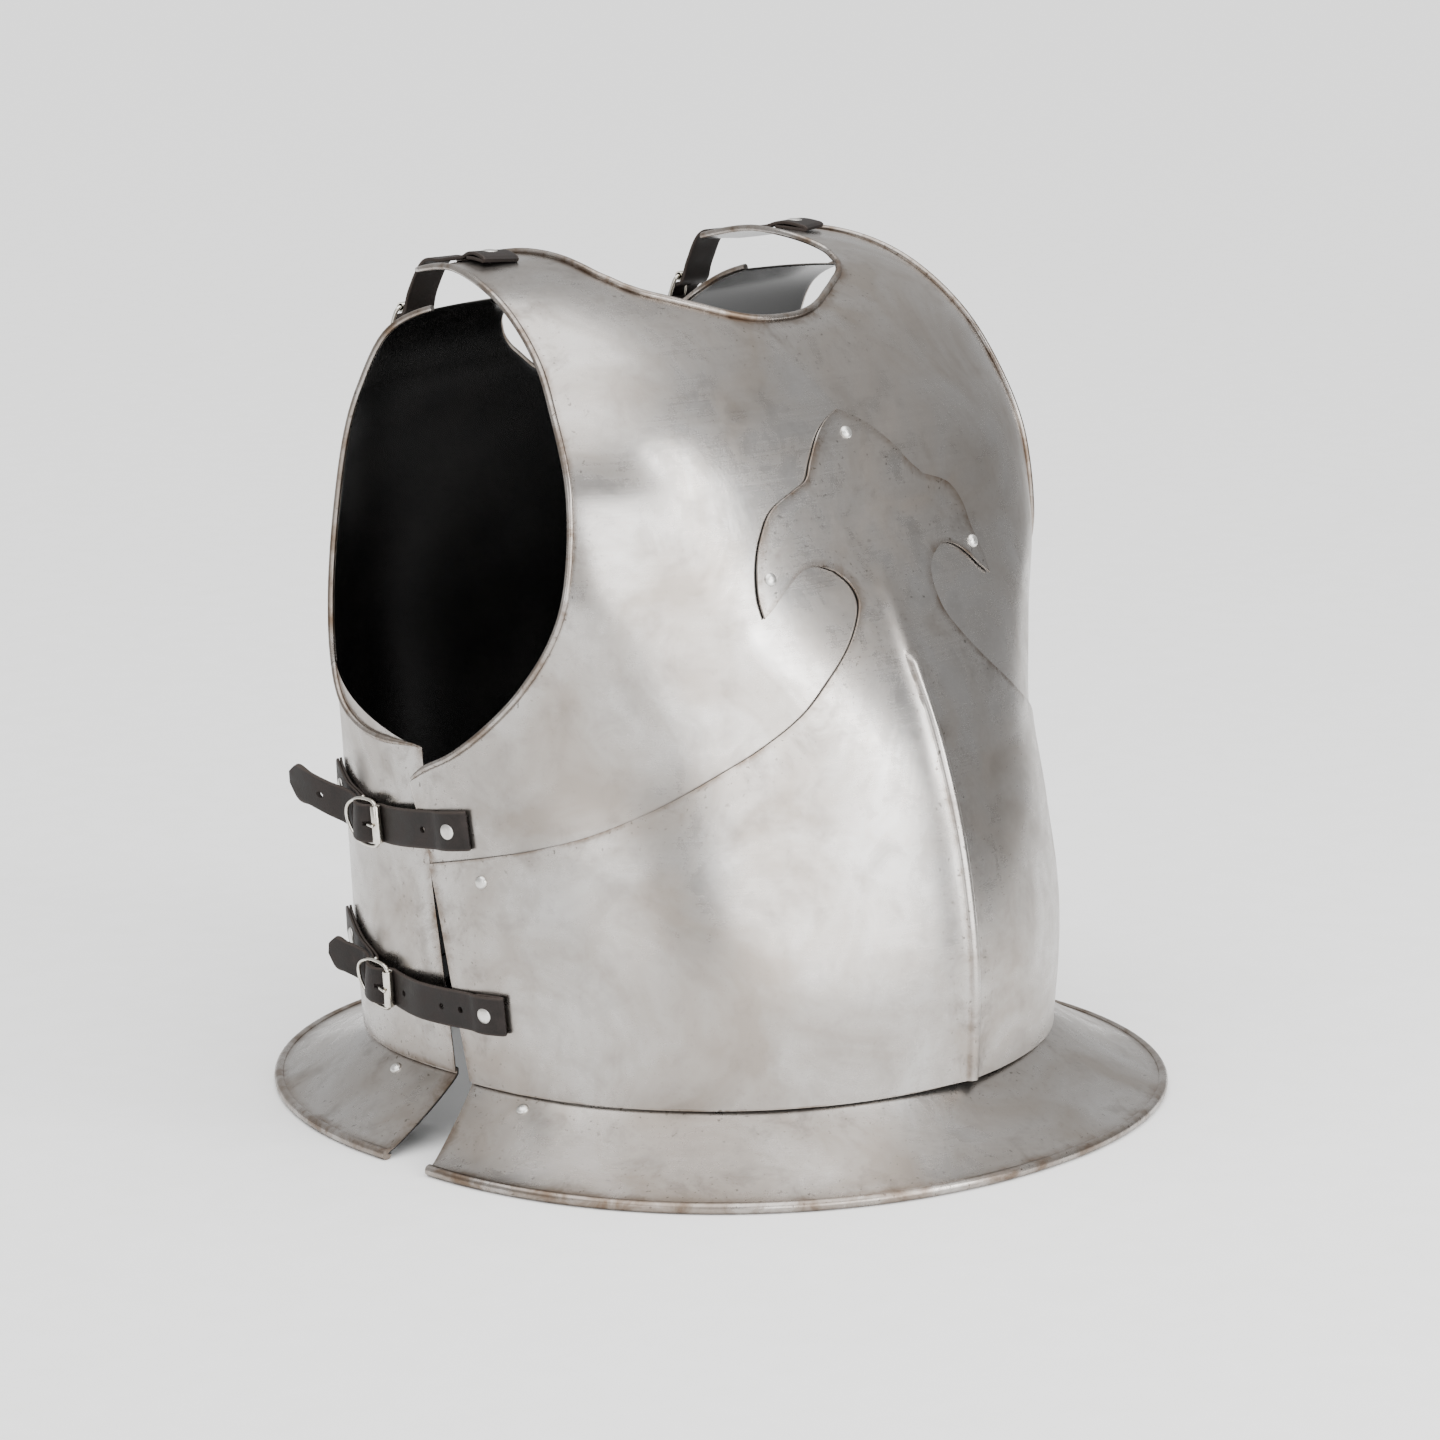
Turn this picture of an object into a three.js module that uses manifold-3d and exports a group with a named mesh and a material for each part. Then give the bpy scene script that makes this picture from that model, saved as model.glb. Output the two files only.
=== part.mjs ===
// A steel cuirass standing on its skirts: front plate, lower front plate with a trefoil top,
// back plate, two flared skirts, four side straps and two shoulder straps with buckles.
// Millimetres, +Z up.  The front faces -Y, +X is the wearer's left, and the origin is on the
// ground in the middle of the footprint.  Only three.js and manifold-3d are needed.
import * as THREE from 'three';
import { mergeVertices } from 'three/addons/utils/BufferGeometryUtils.js';
import Module from 'manifold-3d';

const wasm = await Module();
wasm.setup();

// ---- driving dimensions -------------------------------------------------------------------
const SHEET = 1.2;               // thickness of every steel plate
const UNDER_LIFT = -0.6;         // outer face of the front plate, from the body surface
const OVER_LIFT = 2.95;          // outer face of the lower plate that laps over it
const ROLL_RADIUS = 2.5;         // rolled bead on the neck and arm edges
const SKIRT_ROLL = 2.9;          // rolled bead on the skirt rims
const WAIST = 35;                // height of the waist line
const FOOTPRINT_SHIFT = 8.75;    // the tables are laid out from the middle of the waist; the
                                 // middle of the footprint lies this far in front of it
const RIB_HEIGHT = 3.4;          // raised rib down the middle of the lower plate
const RIB_HALF_WIDTH = 6.5;
const STRAP_WIDTH = 20;
const STRAP_THICK = 1.8;
const CHAPE_THICK = 1.3;
const WIRE = 1.25;               // radius of the buckle wire
const BAR = 1.0;                 // radius of the buckle's centre bar
const ROLLER_REACH = 14;         // from the centre bar to the roller
const RING_REACH = 14;           // from the centre bar to the far end of the ring
const SHANK = 1.5;               // radius of every rivet shank
const SHANK_HOLE = 2.0;          // radius of the holes the shanks pass

// Body sections from the waist up and over the shoulder.  Each section is a flat arch:
// [y of its crown, z of its crown, backward tilt in degrees, half width, rise, fullness].
const FRONT_BODY = {
  side: 1,
  sections: [
    [-188, 35, 0, 178, 175, 2.0],
    [-189, 90, 0, 184, 183, 2.02],
    [-180, 150, 0, 188, 185, 1.96],
    [-165, 200, 2, 192, 182, 1.98],
    [-143, 250, 4, 193, 163, 2.4],
    [-120, 300, 8, 196, 130, 2.95],
    [-104, 350, 16, 194, 108, 3.0],
    [-79, 388, 34, 190, 88, 3.0],
    [-54, 412, 52, 185, 66, 3.0],
    [-14, 434, 72, 178, 42, 3.0],
    [38, 443, 90, 170, 26, 3.2],
    [95, 434, 104, 165, 24, 3.2],
  ],
};
const BACK_BODY = {
  side: -1,
  sections: [
    [155, 35, 0, 174, 150, 2.6],
    [155, 90, 0, 179, 147, 2.6],
    [153, 150, 0, 183, 140, 2.6],
    [150, 200, 2, 186, 137, 2.7],
    [143, 255, 5, 190, 126, 2.9],
    [134, 290, 10, 192, 112, 3.0],
    [112, 345, 20, 190, 62, 3.1],
    [93, 382, 30, 186, 40, 3.2],
    [72, 409, 48, 182, 20, 3.2],
    [35, 424, 80, 176, 12, 3.2],
    [8, 427, 92, 172, 12, 3.2],
  ],
};

// Half of a plate as lines from its neck edge to its outer edge, from the middle to the
// shoulder: [across, along] at the neck, [across, along] at the outer edge, how late the line
// swings out, and how much of the rolled bead the outer edge has there.
// "across" is 0 in the middle and 1 at the side; "along" is 0 at the waist and 1 at the end.
const FRONT_LINES = [
  [0.0, 0.715, 0.0, 0.385, 1.0, 0],
  [0.04, 0.716, 0.15, 0.335, 1.0, 0],
  [0.085, 0.721, 0.32, 0.27, 1.05, 0],
  [0.127, 0.73, 0.5, 0.215, 1.15, 0],
  [0.165, 0.741, 0.69, 0.17, 1.35, 0],
  [0.2, 0.751, 0.87, 0.145, 1.6, 0],
  [0.22, 0.757, 1.0, 0.14, 1.8, 0],
  [0.248, 0.765, 1.0, 0.283, 2.6, 0.1],
  [0.268, 0.772, 0.948, 0.298, 2.6, 1],
  [0.283, 0.779, 0.883, 0.316, 2.3, 1],
  [0.296, 0.786, 0.825, 0.343, 2.0, 1],
  [0.304, 0.793, 0.765, 0.383, 1.7, 1],
  [0.311, 0.8, 0.712, 0.435, 1.4, 1],
  [0.318, 0.807, 0.672, 0.497, 1.2, 1],
  [0.323, 0.815, 0.65, 0.58, 1.1, 1],
  [0.327, 0.837, 0.635, 0.69, 1.0, 1],
  [0.328, 0.86, 0.625, 0.785, 1.0, 1],
  [0.332, 0.885, 0.612, 0.85, 1.0, 1],
  [0.345, 0.92, 0.578, 0.91, 1.0, 1],
  [0.362, 0.972, 0.538, 0.965, 1.0, 0.8],
  [0.372, 0.985, 0.5, 0.985, 1.0, 0.6],
];
const BACK_LINES = [
  [0.0, 0.742, 0.0, 0.0, 1.0, 0],
  [0.045, 0.745, 0.22, 0.0, 1.0, 0],
  [0.09, 0.753, 0.4, 0.0, 1.05, 0],
  [0.127, 0.767, 0.54, 0.0, 1.12, 0],
  [0.156, 0.779, 0.67, 0.0, 1.25, 0],
  [0.174, 0.786, 0.82, 0.0, 1.45, 0],
  [0.19, 0.793, 1.0, 0.0, 1.7, 0],
  [0.206, 0.801, 1.0, 0.18, 2.1, 0],
  [0.222, 0.81, 1.0, 0.362, 2.8, 0.1],
  [0.232, 0.817, 0.944, 0.367, 2.6, 1],
  [0.241, 0.824, 0.855, 0.38, 2.2, 1],
  [0.252, 0.832, 0.735, 0.42, 1.7, 1],
  [0.266, 0.846, 0.655, 0.525, 1.2, 1],
  [0.274, 0.857, 0.627, 0.63, 1.05, 1],
  [0.282, 0.872, 0.648, 0.745, 1.0, 1],
  [0.288, 0.895, 0.64, 0.85, 1.0, 1],
  [0.294, 0.925, 0.63, 0.925, 1.0, 0.8],
];

// Edge of the lower plate from the foot of its side round the trefoil to its tip, paired with
// the middle line (and the middle of the hooked lobe) that each edge point is joined to:
// [across, along] on the middle line, then [across, along] on the edge.
const TREFOIL_RIGHT = [ // wearer's right, x < 0
  [0, 0, 1, 0], [0, 0.06, 1, 0.065], [0, 0.12, 1, 0.135], [0, 0.17, 1, 0.198],
  [0, 0.19, 0.871, 0.213], [0, 0.207, 0.773, 0.225], [0, 0.226, 0.666, 0.241],
  [0, 0.25, 0.553, 0.264], [0, 0.295, 0.414, 0.301], [0, 0.335, 0.292, 0.337],
  [0, 0.37, 0.19, 0.375], [0, 0.408, 0.11, 0.411],
  [0, 0.44, 0.072, 0.441], [0, 0.475, 0.084, 0.464], [0, 0.505, 0.105, 0.474],
  [0.07, 0.502, 0.138, 0.48],
  [0.14, 0.505, 0.178, 0.477], [0.2, 0.492, 0.228, 0.461], [0.245, 0.472, 0.256, 0.45],
  [0.27, 0.452, 0.283, 0.441], [0.245, 0.472, 0.283, 0.461], [0.2, 0.492, 0.27, 0.487],
  [0.14, 0.505, 0.248, 0.512], [0.07, 0.502, 0.213, 0.535], [0, 0.505, 0.15, 0.55],
  [0, 0.535, 0.121, 0.557], [0, 0.565, 0.096, 0.577], [0, 0.592, 0.052, 0.602],
  [0, 0.607, 0.0, 0.616],
];
const TREFOIL_LEFT = [ // wearer's left, x > 0: the hand-cut lobe stands a little wider
  [0, 0, 1, 0], [0, 0.06, 1, 0.065], [0, 0.12, 1, 0.135], [0, 0.17, 1, 0.198],
  [0, 0.19, 0.871, 0.213], [0, 0.207, 0.773, 0.225], [0, 0.226, 0.666, 0.241],
  [0, 0.25, 0.553, 0.264], [0, 0.295, 0.414, 0.301], [0, 0.335, 0.286, 0.336],
  [0, 0.37, 0.195, 0.372], [0, 0.408, 0.133, 0.408],
  [0, 0.44, 0.116, 0.441], [0, 0.475, 0.125, 0.464], [0, 0.505, 0.143, 0.474],
  [0.07, 0.502, 0.167, 0.48],
  [0.14, 0.505, 0.198, 0.479], [0.2, 0.492, 0.232, 0.469], [0.245, 0.472, 0.262, 0.455],
  [0.275, 0.455, 0.288, 0.445], [0.245, 0.472, 0.28, 0.467], [0.2, 0.492, 0.264, 0.49],
  [0.14, 0.505, 0.252, 0.515], [0.07, 0.502, 0.22, 0.535], [0, 0.505, 0.158, 0.546],
  [0, 0.535, 0.128, 0.56], [0, 0.565, 0.097, 0.579], [0, 0.592, 0.05, 0.602],
  [0, 0.607, 0.0, 0.616],
];
const TREFOIL_COLUMNS = [0, 0.028, 0.2, 0.37, 0.54, 0.7, 0.86, 1];
const FRONT_COLUMNS = [0, 0.17, 0.4, 0.62, 0.82, 1];
const BACK_COLUMNS = [0, 0.22, 0.5, 0.77, 1];

// Rims of the skirts on the ground: half width, reach, fullness, y where the arch ends.
const FRONT_RIM = { halfWidth: 229, reach: 214.5, fullness: 2.1, endY: -33, side: 1 };
const BACK_RIM = { halfWidth: 226.5, reach: 229, fullness: 2.0, endY: 1, side: -1 };
const SKIRT_STEPS = 18;

// ---- small vector helpers -----------------------------------------------------------------
const add = (a, b, k = 1) => [a[0] + b[0] * k, a[1] + b[1] * k, a[2] + b[2] * k];
const sub = (a, b) => add(a, b, -1);
const dot = (a, b) => a[0] * b[0] + a[1] * b[1] + a[2] * b[2];
const cross = (a, b) => [
  a[1] * b[2] - a[2] * b[1],
  a[2] * b[0] - a[0] * b[2],
  a[0] * b[1] - a[1] * b[0],
];
const unit = (a) => add([0, 0, 0], a, 1 / Math.hypot(...a));
const mix = (a, b, t) => a + (b - a) * t;

// Smooth curve through rows of numbers at increasing positions.
function curve(positions, rows, at) {
  const last = positions.length - 1;
  let i = 0;
  while (i < last - 1 && at > positions[i + 1]) i += 1;
  const step = positions[i + 1] - positions[i];
  const t = (at - positions[i]) / step;
  const slope = (k, c) => {
    const rise = (m) => (rows[m + 1][c] - rows[m][c]) / (positions[m + 1] - positions[m]);
    if (k === 0) return rise(0);
    if (k === last) return rise(last - 1);
    const before = positions[k] - positions[k - 1];
    const after = positions[k + 1] - positions[k];
    return (before * rise(k) + after * rise(k - 1)) / (before + after);
  };
  return rows[i].map((_, c) =>
    (2 * t ** 3 - 3 * t ** 2 + 1) * rows[i][c]
    + (t ** 3 - 2 * t ** 2 + t) * step * slope(i, c)
    + (3 * t ** 2 - 2 * t ** 3) * rows[i + 1][c]
    + (t ** 3 - t ** 2) * step * slope(i + 1, c));
}

// Positions of the sections along a body, 0 at the waist and 1 at the far end.
function stations(body) {
  const at = [0];
  body.sections.forEach((s, i) => {
    if (i === 0) return;
    const b = body.sections[i - 1];
    at.push(at[i - 1] + Math.hypot(s[0] - b[0], s[1] - b[1]));
  });
  return at.map((a) => a / at[at.length - 1]);
}
FRONT_BODY.at = stations(FRONT_BODY);
BACK_BODY.at = stations(BACK_BODY);

// A point of a body: "across" runs -1 to 1 side to side, "along" 0 to 1 upwards.
function bodyPoint(body, across, along) {
  const [y, z, tilt, halfWidth, rise, fullness] = curve(body.at, body.sections, along);
  const s = Math.sin(across * Math.PI / 2);
  const drop = rise * (1 - Math.max(0, 1 - Math.abs(s) ** fullness) ** (1 / fullness));
  const t = tilt * Math.PI / 180;
  return [halfWidth * s, y + body.side * drop * Math.cos(t), z - drop * Math.sin(t)];
}

function bodyNormal(body, across, along) {
  const e = 0.004;
  const c = Math.max(-1 + e, Math.min(1 - e, across));
  const a = Math.max(e, Math.min(1 - e, along));
  const du = sub(bodyPoint(body, c + e, a), bodyPoint(body, c - e, a));
  const dv = sub(bodyPoint(body, c, a + e), bodyPoint(body, c, a - e));
  return unit(add([0, 0, 0], cross(du, dv), body.side));
}

const lifted = (body, across, along, height) =>
  add(bodyPoint(body, across, along), bodyNormal(body, across, along), height);

// ---- closed solids from grids -------------------------------------------------------------
// Each patch is a grid of pairs { out, in }.  Equal points are welded, and a wall closes every
// edge that only one facet uses.  Each cell is split along its shorter diagonal.
function sheetSolid(patches) {
  const out = [];
  const inn = [];
  const seen = new Map();
  const facets = [];
  const indexOf = (pair) => {
    const key = pair.out.map((n) => Math.round(n * 500)).join();
    if (!seen.has(key)) {
      seen.set(key, out.length);
      out.push(pair.out);
      inn.push(pair.in);
    }
    return seen.get(key);
  };
  for (const patch of patches) {
    const ids = patch.map((row) => row.map(indexOf));
    for (let i = 0; i + 1 < ids.length; i += 1) {
      for (let j = 0; j + 1 < ids[i].length; j += 1) {
        const [a, b, c, d] = [ids[i][j], ids[i + 1][j], ids[i + 1][j + 1], ids[i][j + 1]];
        const gap = (p, q) => Math.hypot(...sub(out[p], out[q]));
        const halves = gap(a, c) <= gap(b, d) ? [[a, b, c], [a, c, d]] : [[a, b, d], [b, c, d]];
        for (const f of halves) {
          if (f[0] !== f[1] && f[1] !== f[2] && f[0] !== f[2]) facets.push(f);
        }
      }
    }
  }
  const edges = new Set();
  for (const f of facets) f.forEach((p, k) => edges.add(`${p},${f[(k + 1) % 3]}`));
  const n = out.length;
  const faces = [];
  for (const f of facets) {
    faces.push(f, [f[0] + n, f[2] + n, f[1] + n]);
    f.forEach((p, k) => {
      const q = f[(k + 1) % 3];
      if (!edges.has(`${q},${p}`)) faces.push([q, p, p + n], [q, p + n, q + n]);
    });
  }
  return solidFrom([...out, ...inn], faces);
}

function solidFrom(points, faces) {
  const build = (list) => new wasm.Manifold(new wasm.Mesh({
    numProp: 3,
    vertProperties: new Float32Array(points.flat()),
    triVerts: new Uint32Array(list.flat()),
  }));
  const made = build(faces);
  return made.volume() > 0 ? made : build(faces.map(([a, b, c]) => [a, c, b]));
}

function solidOf(geometry) {
  const bare = new THREE.BufferGeometry();
  const source = geometry.index ? geometry.toNonIndexed() : geometry;
  bare.setAttribute('position', source.getAttribute('position'));
  const merged = mergeVertices(bare, 1e-4);
  return new wasm.Manifold(new wasm.Mesh({
    numProp: 3,
    vertProperties: merged.attributes.position.array,
    triVerts: new Uint32Array(merged.index.array),
  }));
}

function geometryOf(solid) {
  const mesh = solid.getMesh();
  const xyz = new Float32Array(mesh.numVert * 3);
  for (let i = 0; i < mesh.numVert; i += 1) {
    for (let c = 0; c < 3; c += 1) xyz[i * 3 + c] = mesh.vertProperties[i * mesh.numProp + c];
  }
  const geometry = new THREE.BufferGeometry();
  geometry.setAttribute('position', new THREE.BufferAttribute(xyz, 3));
  geometry.setIndex(new THREE.BufferAttribute(new Uint32Array(mesh.triVerts), 1));
  const flat = geometry.toNonIndexed();
  flat.computeVertexNormals();
  return flat;
}

const box = (a0, a1, b0, b1, h0, h1) => solidOf(new THREE.BoxGeometry(a1 - a0, b1 - b0, h1 - h0)
  .translate((a0 + a1) / 2, (b0 + b1) / 2, (h0 + h1) / 2));

// Round post between two points.
function post(from, to, radius, sides = 8) {
  const axis = new THREE.Vector3(...sub(to, from));
  const g = new THREE.CylinderGeometry(radius, radius, axis.length(), sides);
  g.applyQuaternion(new THREE.Quaternion()
    .setFromUnitVectors(new THREE.Vector3(0, 1, 0), axis.clone().normalize()));
  return solidOf(g.translate(...add(from, axis.multiplyScalar(0.5).toArray())));
}

// Tube of constant radius along a list of points; closed joins the last point to the first.
function tube(points, radius, sides, closed) {
  const n = points.length;
  const rings = points.map((p, i) => {
    const before = points[closed ? (i + n - 1) % n : Math.max(0, i - 1)];
    const after = points[closed ? (i + 1) % n : Math.min(n - 1, i + 1)];
    const t = unit(sub(after, before));
    const u = unit(cross(t, [0, 0, 1]));
    const v = cross(t, u);
    return Array.from({ length: sides }, (_, k) => {
      const a = (k + 0.5) * 2 * Math.PI / sides;
      return add(add(p, u, radius * Math.cos(a)), v, radius * Math.sin(a));
    });
  });
  const faces = [];
  for (let i = 0; i < (closed ? n : n - 1); i += 1) {
    for (let k = 0; k < sides; k += 1) {
      const a = i * sides + k;
      const b = i * sides + (k + 1) % sides;
      const c = ((i + 1) % n) * sides + k;
      const d = ((i + 1) % n) * sides + (k + 1) % sides;
      faces.push([a, b, d], [a, d, c]);
    }
  }
  if (!closed) {
    for (let k = 1; k + 1 < sides; k += 1) {
      const e = (n - 1) * sides;
      faces.push([0, k + 1, k], [e, e + k, e + k + 1]);
    }
  }
  return solidFrom(rings.flat(), faces);
}

// ---- plates -------------------------------------------------------------------------------
// Pairs round the rolled bead at one end of a line: "away" points off the plate's edge.
function beadPairs(edge, away, normal, amount) {
  const radius = mix(0.5, ROLL_RADIUS, amount);
  const centre = add(add(edge, normal, mix(-0.6, 1.1, amount)), away, radius * 0.9);
  return [50, 125].map((degrees) => {
    const a = degrees * Math.PI / 180;
    const base = add(centre, away, -Math.cos(a) * radius);
    return {
      out: add(base, normal, Math.sin(a) * radius),
      in: add(base, normal, -Math.sin(a) * radius),
    };
  });
}

// A whole plate: its half lines mirrored, a bead at the neck and a bead at the outer edge.
// Where the outer edge has no bead it is pressed in by "margin", to pass behind another plate.
function plate(body, lines, columns, lift, margin) {
  const rows = [...lines.slice(1).reverse().map((l) => [l, -1]), ...lines.map((l) => [l, 1])];
  const uv = ([l, s], q) => [
    s * mix(l[0], l[2], q ** l[4]),
    mix(l[1], l[3], q),
  ];
  const edgeAway = (i, q) => {
    const at = (k) => bodyPoint(body, ...uv(rows[Math.max(0, Math.min(rows.length - 1, k))], q));
    const along = unit(sub(at(i + 1), at(i - 1)));
    const normal = bodyNormal(body, ...uv(rows[i], q));
    const away = unit(cross(normal, along));
    const outward = sub(bodyPoint(body, ...uv(rows[i], q)),
      bodyPoint(body, ...uv(rows[i], q === 0 ? 0.05 : 0.95)));
    return dot(away, outward) < 0 ? add([0, 0, 0], away, -1) : away;
  };
  const patch = rows.map((row, i) => {
    const skin = columns.map((q) => {
      const height = q === 1 && row[0][5] === 0 ? lift - margin : lift;
      return {
        out: lifted(body, ...uv(row, q), height),
        in: lifted(body, ...uv(row, q), height - SHEET),
      };
    });
    const bead = (q, amount) => beadPairs(lifted(body, ...uv(row, q), lift),
      edgeAway(i, q), bodyNormal(body, ...uv(row, q)), amount);
    return [...bead(0, 1).reverse(), ...skin, ...bead(1, row[0][5])];
  });
  return sheetSolid([patch]);
}

// Height of the raised rib over the lower plate: full at the waist, dying out under the stem.
function ribHeight(x, along) {
  const fade = Math.max(0, Math.min(1, (0.40 - along) / 0.03));
  return RIB_HEIGHT * fade * Math.max(0, 1 - Math.abs(x) / RIB_HALF_WIDTH);
}

// The lower front plate: lines from the middle line to the edge on both sides.
function trefoilPlate() {
  const half = (table, side) => table.map(([mu, mv, eu, ev]) => TREFOIL_COLUMNS.map((q) => {
    const u = side * mix(mu, eu, q);
    const v = mix(mv, ev, q);
    const rib = ribHeight(bodyPoint(FRONT_BODY, u, v)[0], v);
    return {
      out: lifted(FRONT_BODY, u, v, OVER_LIFT + rib),
      in: lifted(FRONT_BODY, u, v, OVER_LIFT - SHEET + rib * 0.8),
    };
  }));
  return sheetSolid([
    half(TREFOIL_RIGHT, -1).map((row) => row.reverse()),
    half(TREFOIL_LEFT, 1),
  ]);
}

// A flared skirt: an upright flange inside the waist, a trumpet flare and a rolled rim whose
// underside is a flat band on the ground.
function rimPoint(rim, across, inset) {
  const s = Math.sin(across * Math.PI / 2);
  const c = Math.abs(Math.cos(across * Math.PI / 2)) ** (2 / rim.fullness);
  const x = (rim.halfWidth - inset) * Math.sign(s) * Math.abs(s) ** (2 / rim.fullness);
  return [x, rim.endY - rim.side * (rim.reach - inset) * c];
}

function skirtPoint(body, rim, across, t) {
  const top = lifted(body, across, 0, -2.2);
  const [x, y] = rimPoint(rim, across, 2 * SKIRT_ROLL - 1);
  const reach = t ** 1.12;
  const fall = 1 - (1 - t) ** 1.12;
  return [mix(top[0], x, reach), mix(top[1], y, reach), mix(WAIST - 2.2, 4.2, fall)];
}

function skirt(body, rim) {
  const patch = [];
  for (let i = 0; i <= SKIRT_STEPS; i += 1) {
    const across = -1 + 2 * i / SKIRT_STEPS;
    const flange = (lift) => ({
      out: [...lifted(body, across, 0, -5.0).slice(0, 2), WAIST + lift],
      in: [...lifted(body, across, 0, -5.0 - SHEET).slice(0, 2), WAIST + lift],
    });
    const flare = [0.08, 0.5, 1].map((t) => {
      const at = skirtPoint(body, rim, across, t);
      const fore = sub(skirtPoint(body, rim, across, Math.min(1, t + 0.02)),
        skirtPoint(body, rim, across, t - 0.02));
      const flat = Math.hypot(fore[0], fore[1]);
      const up = unit([-fore[0] * fore[2] / flat, -fore[1] * fore[2] / flat, flat]);
      return { out: at, in: add(at, up, -SHEET) };
    });
    const [x0, y0] = rimPoint(rim, across, SKIRT_ROLL);
    const [x1, y1] = rimPoint(rim, across, 0);
    const away = unit([x1 - x0, y1 - y0, 0]);
    const bead = [[-0.75, 0.95, -0.95], [0.4, 0.98, -1], [0.98, 0.3, -0.45]].map(([f, hi, lo]) => ({
      out: add([x0, y0, SKIRT_ROLL * (1 + hi)], away, SKIRT_ROLL * f),
      in: add([x0, y0, SKIRT_ROLL * (1 + lo)], away, SKIRT_ROLL * f),
    }));
    bead[0].in[2] = 0;
    patch.push([flange(11), flange(0), ...flare, ...bead]);
  }
  return sheetSolid([patch]);
}

// ---- rivets -------------------------------------------------------------------------------
// Dome-headed rivet on an outward axis: the head sits on "seat" above the base point.
function rivet(base, axis, seat, depth, headRadius, headHeight) {
  const profile = [
    [0, seat + headHeight], [headRadius * 0.66, seat + headHeight * 0.7],
    [headRadius, seat], [SHANK, seat], [SHANK, -depth], [0, -depth],
  ].map(([r, h]) => new THREE.Vector2(r, h)).reverse();
  const g = new THREE.LatheGeometry(profile, 6);
  g.applyQuaternion(new THREE.Quaternion()
    .setFromUnitVectors(new THREE.Vector3(0, 1, 0), new THREE.Vector3(...axis)));
  g.translate(...base);
  return solidOf(g);
}
const drill = (base, axis) => post(add(base, axis, -14), add(base, axis, 14), SHANK_HOLE, 6);

// ---- straps -------------------------------------------------------------------------------
// Every strap is laid out flat first: a runs from the buckle's bar (0) towards the riveted end
// on the front, b across the strap and h outwards from the plate.  wrap() bends the whole set
// along a base line that lies on the plates.
function wrap(line, solid) {
  return solid.warp((p) => {
    const [x, y, z] = line(p[0], p[1], p[2]);
    p[0] = x;
    p[1] = y;
    p[2] = z;
  });
}

// Outer half width of a body at a place on its side, where the sections are upright.
function sideReach(body, y, z) {
  const at = body.sections.map((s) => s[1]);
  const [crown, , , halfWidth, rise, fullness] = curve(at.slice(0, 6), body.sections.slice(0, 6), z);
  const into = Math.max(0, 1 - (body.side * (y - crown)) / rise);
  return halfWidth * (1 - into ** fullness) ** (1 / fullness);
}

// Base line round the wearer's right side.  rows: [a, y, z, lift off the front plate].
function sideLine(rows) {
  const at = rows.map((r) => r[0]);
  const centre = (a, b) => {
    const [, y, z, lift] = curve(at, rows, a);
    const front = sideReach(FRONT_BODY, y, z + b) + lift;
    const back = sideReach(BACK_BODY, y, z + b) + 0.8;
    const t = Math.max(0, Math.min(1, (y - 17) / 20));
    return [-mix(front, back, t * t * (3 - 2 * t)), y, z + b];
  };
  return frameLine(centre);
}

function frameLine(centre) {
  return (a, b, h) => {
    const here = centre(a, 0);
    const along = unit(sub(centre(a + 1.5, 0), centre(a - 1.5, 0)));
    const up = sub(centre(a, 9), centre(a, -9));
    const side = unit(sub(up, add([0, 0, 0], along, dot(up, along))));
    const out = cross(along, side);
    return add(add(here, side, b), out, h);
  };
}

// Ribbon of leather: rows of [a, underside, top, half width, sideways shift].
function ribbon(rows) {
  return sheetSolid([rows.map(([a, low, high, half = STRAP_WIDTH / 2, shift = 0]) =>
    [-1, 1].map((s) => ({ out: [a, shift + s * half, high], in: [a, shift + s * half, low] })))]);
}

// Rows of a ribbon of constant thickness along a path of [a, h of its middle line, half, shift].
function pathRows(path, thick) {
  return path.map(([a, h, half, shift], i) => {
    const p = path[Math.max(0, i - 1)];
    const q = path[Math.min(path.length - 1, i + 1)];
    const run = Math.hypot(q[0] - p[0], q[1] - p[1]);
    const [da, dh] = [(q[0] - p[0]) / run, (q[1] - p[1]) / run];
    return { a, h, half, shift, da, dh, thick };
  });
}
function bentRibbon(path, thick) {
  const rows = pathRows(path, thick).map(({ a, h, half = STRAP_WIDTH / 2, shift = 0, da, dh }) =>
    [-1, 1].map((s) => ({
      out: [a - dh * thick / 2, shift + s * half, h + da * thick / 2],
      in: [a + dh * thick / 2, shift + s * half, h - da * thick / 2],
    })));
  return sheetSolid([rows]);
}

const hole = (a) => post([a, 0, -30], [a, 0, 40], 1.7, 5);
const BAR_HEIGHT = 5.0;

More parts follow.
